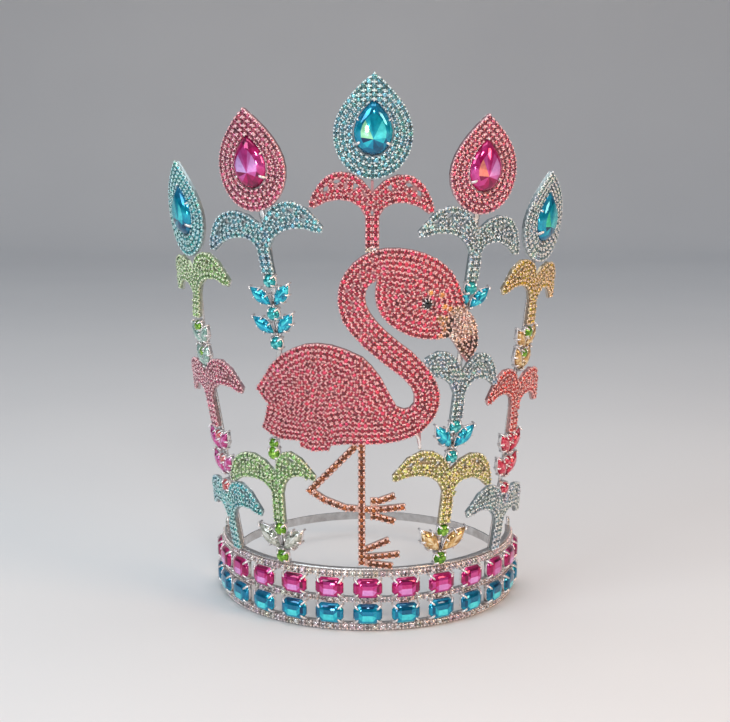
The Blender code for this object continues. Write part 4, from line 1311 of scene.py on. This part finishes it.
def pear_tones(tones, glint, seed):
    """Painted light and shade of the crown and table facets, in order round the stone, from the tip down
    its left side.
    """
    dice = np.random.default_rng(seed)
    wall = np.array(PEAR_WALL)
    table = np.roll(np.array(PEAR_TABLE), -1)
    levels = (np.concatenate([wall - 0.6, wall - 0.2]), np.tile(wall + 0.25, 4), table,
              np.array([0.2]))
    drifting = [level + dice.normal(0.0, 0.18, len(level)) * (level < 3.0) for level in levels]
    return np.concatenate([np.where(level[:, None] > 3.05, glint, toned(tones, level))
                           for level in drifting])


def pear_seat():
    """Cup behind the girdle, two broad claws at the pear's lower sides and three small ones."""
    path = ((-0.1, 0.3, 0.72), (-0.1, 3.3, 0.72), (0.9, 4.4, 0.62), (1.9, 5.2, 0.4))
    small = ((-0.1, 0.3, 0.40), (-0.1, 3.0, 0.40), (0.3, 3.7, 0.32), (0.7, 4.1, 0.22))
    ring = pear_ring(1.0, 0.0, 0.0, 40)[:, :2]
    claws = [claw(ring[k], -ring[k], path) for k in (14, 26)]
    claws += [claw(ring[k], -ring[k], small) for k in (0, 7, 33)]
    cup = lofted([pear_ring(0.84, -0.1), pear_ring(1.0, 1.2), pear_ring(1.02, 2.1),
                  pear_ring(0.97, 2.3)])
    return join_shapes(claws + [cup])


for seed, (column, angle, foot, turn, share, colour, slot, glass) in enumerate(TEARDROPS):
    height = TEAR_HEIGHT * share
    rise = PEAR_RISE * share
    spots, turns, sizes = teardrop_rows(height, rise)
    origins, axes = laid(swung(spots, turn), angle, foot, CUP_BACK, turns + turn)
    set_stones(f"teardrop_{column}", origins, axes, sizes * 0.98, colour, slot, PAVE_GLASS,
               seed=300 + 9 * seed, rear=PLATE_DEPTH)
    bpy.data.objects[f"teardrop_{column}"].material_slots[0].material = PLATES[slot]
    middle = swung(np.array([[0.0, rise + TEAR_SHOULDER * PEAR_HEIGHT]]), turn)
    origins, axes = laid(middle, angle, foot, PEAR_BACK, np.array([turn]))
    tones = AQUA_TONES if glass == "aqua" else FUCHSIA_TONES
    piece = fixed_piece(f"pear_{column}_stone", repeat(pear_gem(), origins, axes, 1.0), GEM_GLASS,
                        glass + "_glass", f"pear_{column}")
    facet_tint(piece, pear_tones(tones, PEAR_GLINTS[column], 400 + seed))
    fixed_piece(f"pear_{column}_claws", repeat(pear_seat(), origins, axes, 1.0), PRONG_SILVER,
                "silver_plate")


# Flamingo: body, neck, head and beak sawn as one plate and paved in rows that
# follow its edge, with pale stones and a few painted orange glints at the face and dark ones at the beak.
# Across and up of its outline, from the tail along the back and round to the belly.
FLAMINGO_BACK = (
    (-46.5, 102.1), (-40.7, 107.7), (-34.4, 111.3), (-29.0, 113.3), (-23.0, 114.0),
    (-16.5, 113.4), (-10.0, 111.4), (-2.2, 107.8), (1.7, 103.8), (5.9, 98.1), (11.0, 88.0),
    (13.3, 83.7), (16.9, 82.2), (19.4, 82.8), (21.3, 85.0), (21.4, 88.9), (19.8, 93.0),
    (16.4, 97.1), (5.5, 106.2), (-2.1, 113.0), (-7.7, 119.3), (-11.3, 124.8),
)
FLAMINGO_CROWN = (
    (-12.8, 129.5), (-13.5, 134.5), (-13.3, 139.2), (-12.2, 143.6), (-10.0, 147.9),
    (-6.5, 152.2), (-2.4, 155.5), (2.6, 158.0), (8.0, 159.0), (14.0, 159.0), (20.0, 158.1),
    (25.8, 156.4), (31.3, 153.7), (35.3, 150.8), (38.6, 147.5), (41.5, 142.8), (43.8, 137.4),
    (45.0, 132.6),
)
FLAMINGO_BEAK = (
    (46.4, 129.4), (50.4, 125.6), (52.3, 120.6), (53.2, 115.4), (52.8, 110.9), (50.6, 106.3),
    (47.6, 103.2), (44.2, 107.4), (40.9, 112.6), (38.0, 116.2),
)
FLAMINGO_CHIN = (
    (31.5, 115.6), (25.5, 116.1), (19.7, 117.5), (14.2, 120.2), (9.4, 123.8), (5.9, 127.8),
    (3.9, 132.1), (3.2, 136.4), (3.4, 140.8), (4.0, 144.0),
)
FLAMINGO_THROAT = (
    (0.8, 142.2), (-0.7, 139.4), (-1.1, 136.2), (-0.6, 132.6), (1.2, 128.8), (4.2, 124.6),
    (8.7, 119.8), (14.4, 114.7), (20.1, 110.2), (25.0, 105.0), (29.2, 99.7), (32.3, 94.2),
    (33.7, 88.9), (33.5, 83.6), (31.9, 78.7), (28.9, 74.4), (24.8, 70.6), (22.6, 69.4),
)
FLAMINGO_BELLY = (
    (20.2, 68.2), (14.6, 66.5), (7.6, 65.5), (-0.5, 65.1), (-10.6, 65.1), (-16.9, 64.0),
    (-18.0, 61.4), (-25.6, 60.8), (-31.9, 62.4), (-32.2, 65.4), (-40.9, 65.5), (-47.4, 67.2),
    (-52.6, 69.8), (-50.0, 77.1), (-48.6, 82.6), (-51.4, 85.6), (-55.0, 89.6), (-50.8, 95.9),
)
BIRD_ROWS = 9
BIRD_EDGE_ROW = 2.4
BIRD_SPACING = 2.05
BIRD_FILL_MARGIN = 1.25
BIRD_EVENING_MARGIN = 1.3
EYE = np.array((26.9, 132.8))
EYE_ROOM = 3.7
EYE_EVENING_ROOM = 3.6
APRICOT = (0.52, 0.25, 0.12)
CHAMPAGNE = (0.52, 0.32, 0.26)
TAN = (0.06, 0.025, 0.015)
UMBER = (0.05, 0.02, 0.012)
# colour of the painted orange glints
PAINTED_GLINT = (0.95, 0.34, 0.10)
# across and up of the few stones in the face that are painted with orange glints
PAINTED_GLINT_SPOTS = np.array(((29.8, 138.2), (32.6, 137.0), (36.4, 131.2), (38.6, 130.0)))


def edge_rows(outline, pitch, rows):
    """Rows at half a pitch, one and a half and so on inside an outline, as far as they fit."""
    dense = dense_line(outline, 0.3)
    way = np.roll(dense, -3, axis=0) - np.roll(dense, 3, axis=0)
    way /= np.linalg.norm(way, axis=1)[:, None]
    inward = np.stack([way[:, 1], -way[:, 0]], axis=-1)
    spots, turns = [], []
    for row in range(rows):
        depth = (row + 0.5) * pitch
        line = dense + inward * depth
        line = line[nearest(line, dense) > depth - 0.12]
        if len(line) < 3:
            break
        breaks = np.nonzero(np.linalg.norm(np.diff(line, axis=0), axis=1) > 1.3)[0] + 1
        for run in np.split(line, breaks):
            if len(run) > 4:
                at, turn = spaced(run, pitch)
                spots.append(at)
                turns.append(turn)
    return settled(np.concatenate(spots), np.concatenate(turns), pitch * 0.86)


bird = np.array(FLAMINGO_BACK + FLAMINGO_CROWN + FLAMINGO_BEAK + FLAMINGO_CHIN + FLAMINGO_THROAT
                + FLAMINGO_BELLY)
spots, turns = edge_rows(bird, PAVE_PITCH, BIRD_ROWS)
away = np.linalg.norm(spots - EYE, axis=1) > EYE_ROOM
edge = dense_line(bird, 0.6)
spots, turns = filled_in(spots[away], turns[away], edge, BIRD_SPACING, BIRD_FILL_MARGIN,
                         [(EYE, EYE_ROOM)])
spots = evened(spots, nearest(spots, edge) > BIRD_EDGE_ROW, edge, PAVE_PITCH, BIRD_EVENING_MARGIN,
               [(EYE, EYE_EVENING_ROOM)])
colours = stone_colours(PINK, len(spots), 0.2, seed=500)
across, up = spots.T
# colour and drift of the stones in the lower face, before the beak, at its root and at its tip
for seed, (base, drift, chosen) in enumerate((
        (APRICOT, 0.2, (across > 32.6) & (up < 128.0)),
        (CHAMPAGNE, 0.2, (across > 38.6) & (up < 130.5)),
        (TAN, 0.4, (across > 36.2) & (across < 38.8) & (up < 125.5)),
        (UMBER, 0.5, (across > 36.2) & (up < 114.5)))):
    colours[chosen] = stone_colours(base, int(chosen.sum()), drift, 501 + seed)
# a few stones near the eye are painted with orange glints
chosen = np.linalg.norm(spots[:, None] - PAINTED_GLINT_SPOTS[None], axis=2).argmin(axis=0)
colours[chosen] = stone_colours(PAINTED_GLINT, len(chosen), 0.08, seed=506)
origins, axes = laid(spots, 0.0, 0.0, CUP_BACK, turns)
set_stones("flamingo", origins, axes, roomy(spots), colours, "pink_pave", PAVE_GLASS, seed=503,
           rear=PLATE_DEPTH)
bpy.data.objects["flamingo"].material_slots[0].material = PLATES["pink_pave"]


# Belly wire: a short silver wire bent down from the bird's belly to the palm
# below, soldered at both ends to steady the bird.
TIE_WIRE = ((21.4, 69.4), (23.4, 69.4), (24.5, 66.4), (24.5, 61.8))
TIE_WIRE_RADIUS = 0.85
TIE_WIRE_PROUD = 0.7


def wire_on_cone(path, thick, proud):
    """Round wire along a flat path laid on the cone: an eight-sided section square to the path."""
    way = np.gradient(path, axis=0)
    origins, axes = laid(path, 0.0, 0.0, proud, np.degrees(np.arctan2(way[:, 1], way[:, 0])))
    section = flat_ring(8, thick) * MM
    return lofted(origins[:, None] + axes[:, None, 1] * section[None, :, :1]
                  + axes[:, None, 2] * section[None, :, 1:])


fixed_piece("belly_wire", wire_on_cone(curve(*TIE_WIRE, 20), TIE_WIRE_RADIUS, TIE_WIRE_PROUD),
            PRONG_SILVER, "silver_plate")


# Head tie: two pale crystals in cups, soldered between the top of the bird's
# head and the foot of the palm above it.
TIE_SPOTS = np.array(((0.1, 158.6), (3.0, 159.1)))
TIE_STONE = 2.8
TIE_CRYSTAL = (0.72, 0.52, 0.44)

origins, axes = laid(TIE_SPOTS, 0.0, 0.0, CUP_BACK, np.zeros(len(TIE_SPOTS)))
set_stones("head_tie", origins, axes, TIE_STONE, TIE_CRYSTAL, "silver_plate", CRYSTAL_GLASS, seed=540)


# Eye: one large round stone of black glass in the room that the small stones
# leave for it, held by a ring of nine short claws.
JET_TONES = ((0.002, 0.002, 0.002), (0.006, 0.006, 0.008), (0.02, 0.02, 0.024), (0.10, 0.10, 0.11))
EYE_BACK = 0.2
EYE_SHARE = 0.86
EYE_CLAWS = 9
EYE_CLAW_REACH = 2.95


def ring_claws():
    """Short claws at even angles round a stone, bent in over its edge."""
    path = ((-0.05, 0.3, 0.36), (-0.05, 2.6, 0.36), (0.5, 3.4, 0.32), (1.0, 3.8, 0.2))
    ring = flat_ring(EYE_CLAWS, EYE_CLAW_REACH)
    return join_shapes([claw(foot, -foot, path) for foot in ring])


origins, axes = laid(EYE[None], 0.0, 0.0, EYE_BACK, np.array([0.0]))
gems = repeat(round_gem(), origins, axes, EYE_SHARE)
eye = fixed_piece("flamingo_eye_stone", gems, GEM_GLASS, "amber_pave")
facet_tint(eye, spray_tones(gems[1], JET_TONES, 1, seed=71))
fixed_piece("flamingo_eye_claws", repeat(ring_claws(), origins, axes, EYE_SHARE), PRONG_SILVER,
            "silver_plate")


# Legs: single rows of amber stones in rosy square cups, soldered end to end and
# to the band's top rail: the standing leg, the bent one and the toes of both feet.
# across and up of both ends of each row
LEG_ROWS = (
    (-2.8, 64.7, -2.8, 4.4),
    (-6.3, 63.2, -27.2, 40.4),
    (-27.2, 40.4, -20.7, 36.3),
    (-20.7, 36.3, -10.8, 32.6),
    (-10.8, 32.6, 2.8, 31.6),
    (2.8, 36.4, 2.8, 28.2),
    (2.8, 35.2, 11.2, 38.2),
    (2.8, 31.6, 16.0, 32.6),
    (2.8, 28.6, 11.2, 25.8),
    (-2.8, 10.2, 8.6, 15.2),
    (-2.8, 6.8, 13.4, 8.0),
    (-1.6, 3.9, 10.2, 2.2),
)
LEG_PITCH = 3.15
LEG_SPACING = 2.3
LEG_STONE = 3.3
LEG_CUP_BACK = 0.5
LEG_SHIFT = (0.0, 0.15)
AMBER = (0.24, 0.065, 0.014)

spots, turns = [], []
for x0, y0, x1, y1 in LEG_ROWS:
    start, end = np.array((x0, y0)), np.array((x1, y1))
    length = np.linalg.norm(end - start)
    count = int(round(length / LEG_PITCH)) + 1
    spots.append(start + (end - start) * np.linspace(0.0, 1.0, count)[:, None])
    turns.append(np.full(count, math.degrees(math.atan2(y1 - y0, x1 - x0))))
spots, turns = settled(np.concatenate(spots), np.concatenate(turns), LEG_SPACING)
origins, axes = laid(spots + LEG_SHIFT, 0.0, 0.0, LEG_CUP_BACK, turns)
set_stones("flamingo_legs", origins, axes, LEG_STONE, AMBER, "amber_pave", PAVE_GLASS, seed=530)
ROSY_PLATE = plated_metal("rosy_plate", (0.62, 0.40, 0.33), (0.92, 0.70, 0.62), 0.22, 0.42, 400.0)
bpy.data.objects["flamingo_legs"].material_slots[0].material = ROSY_PLATE
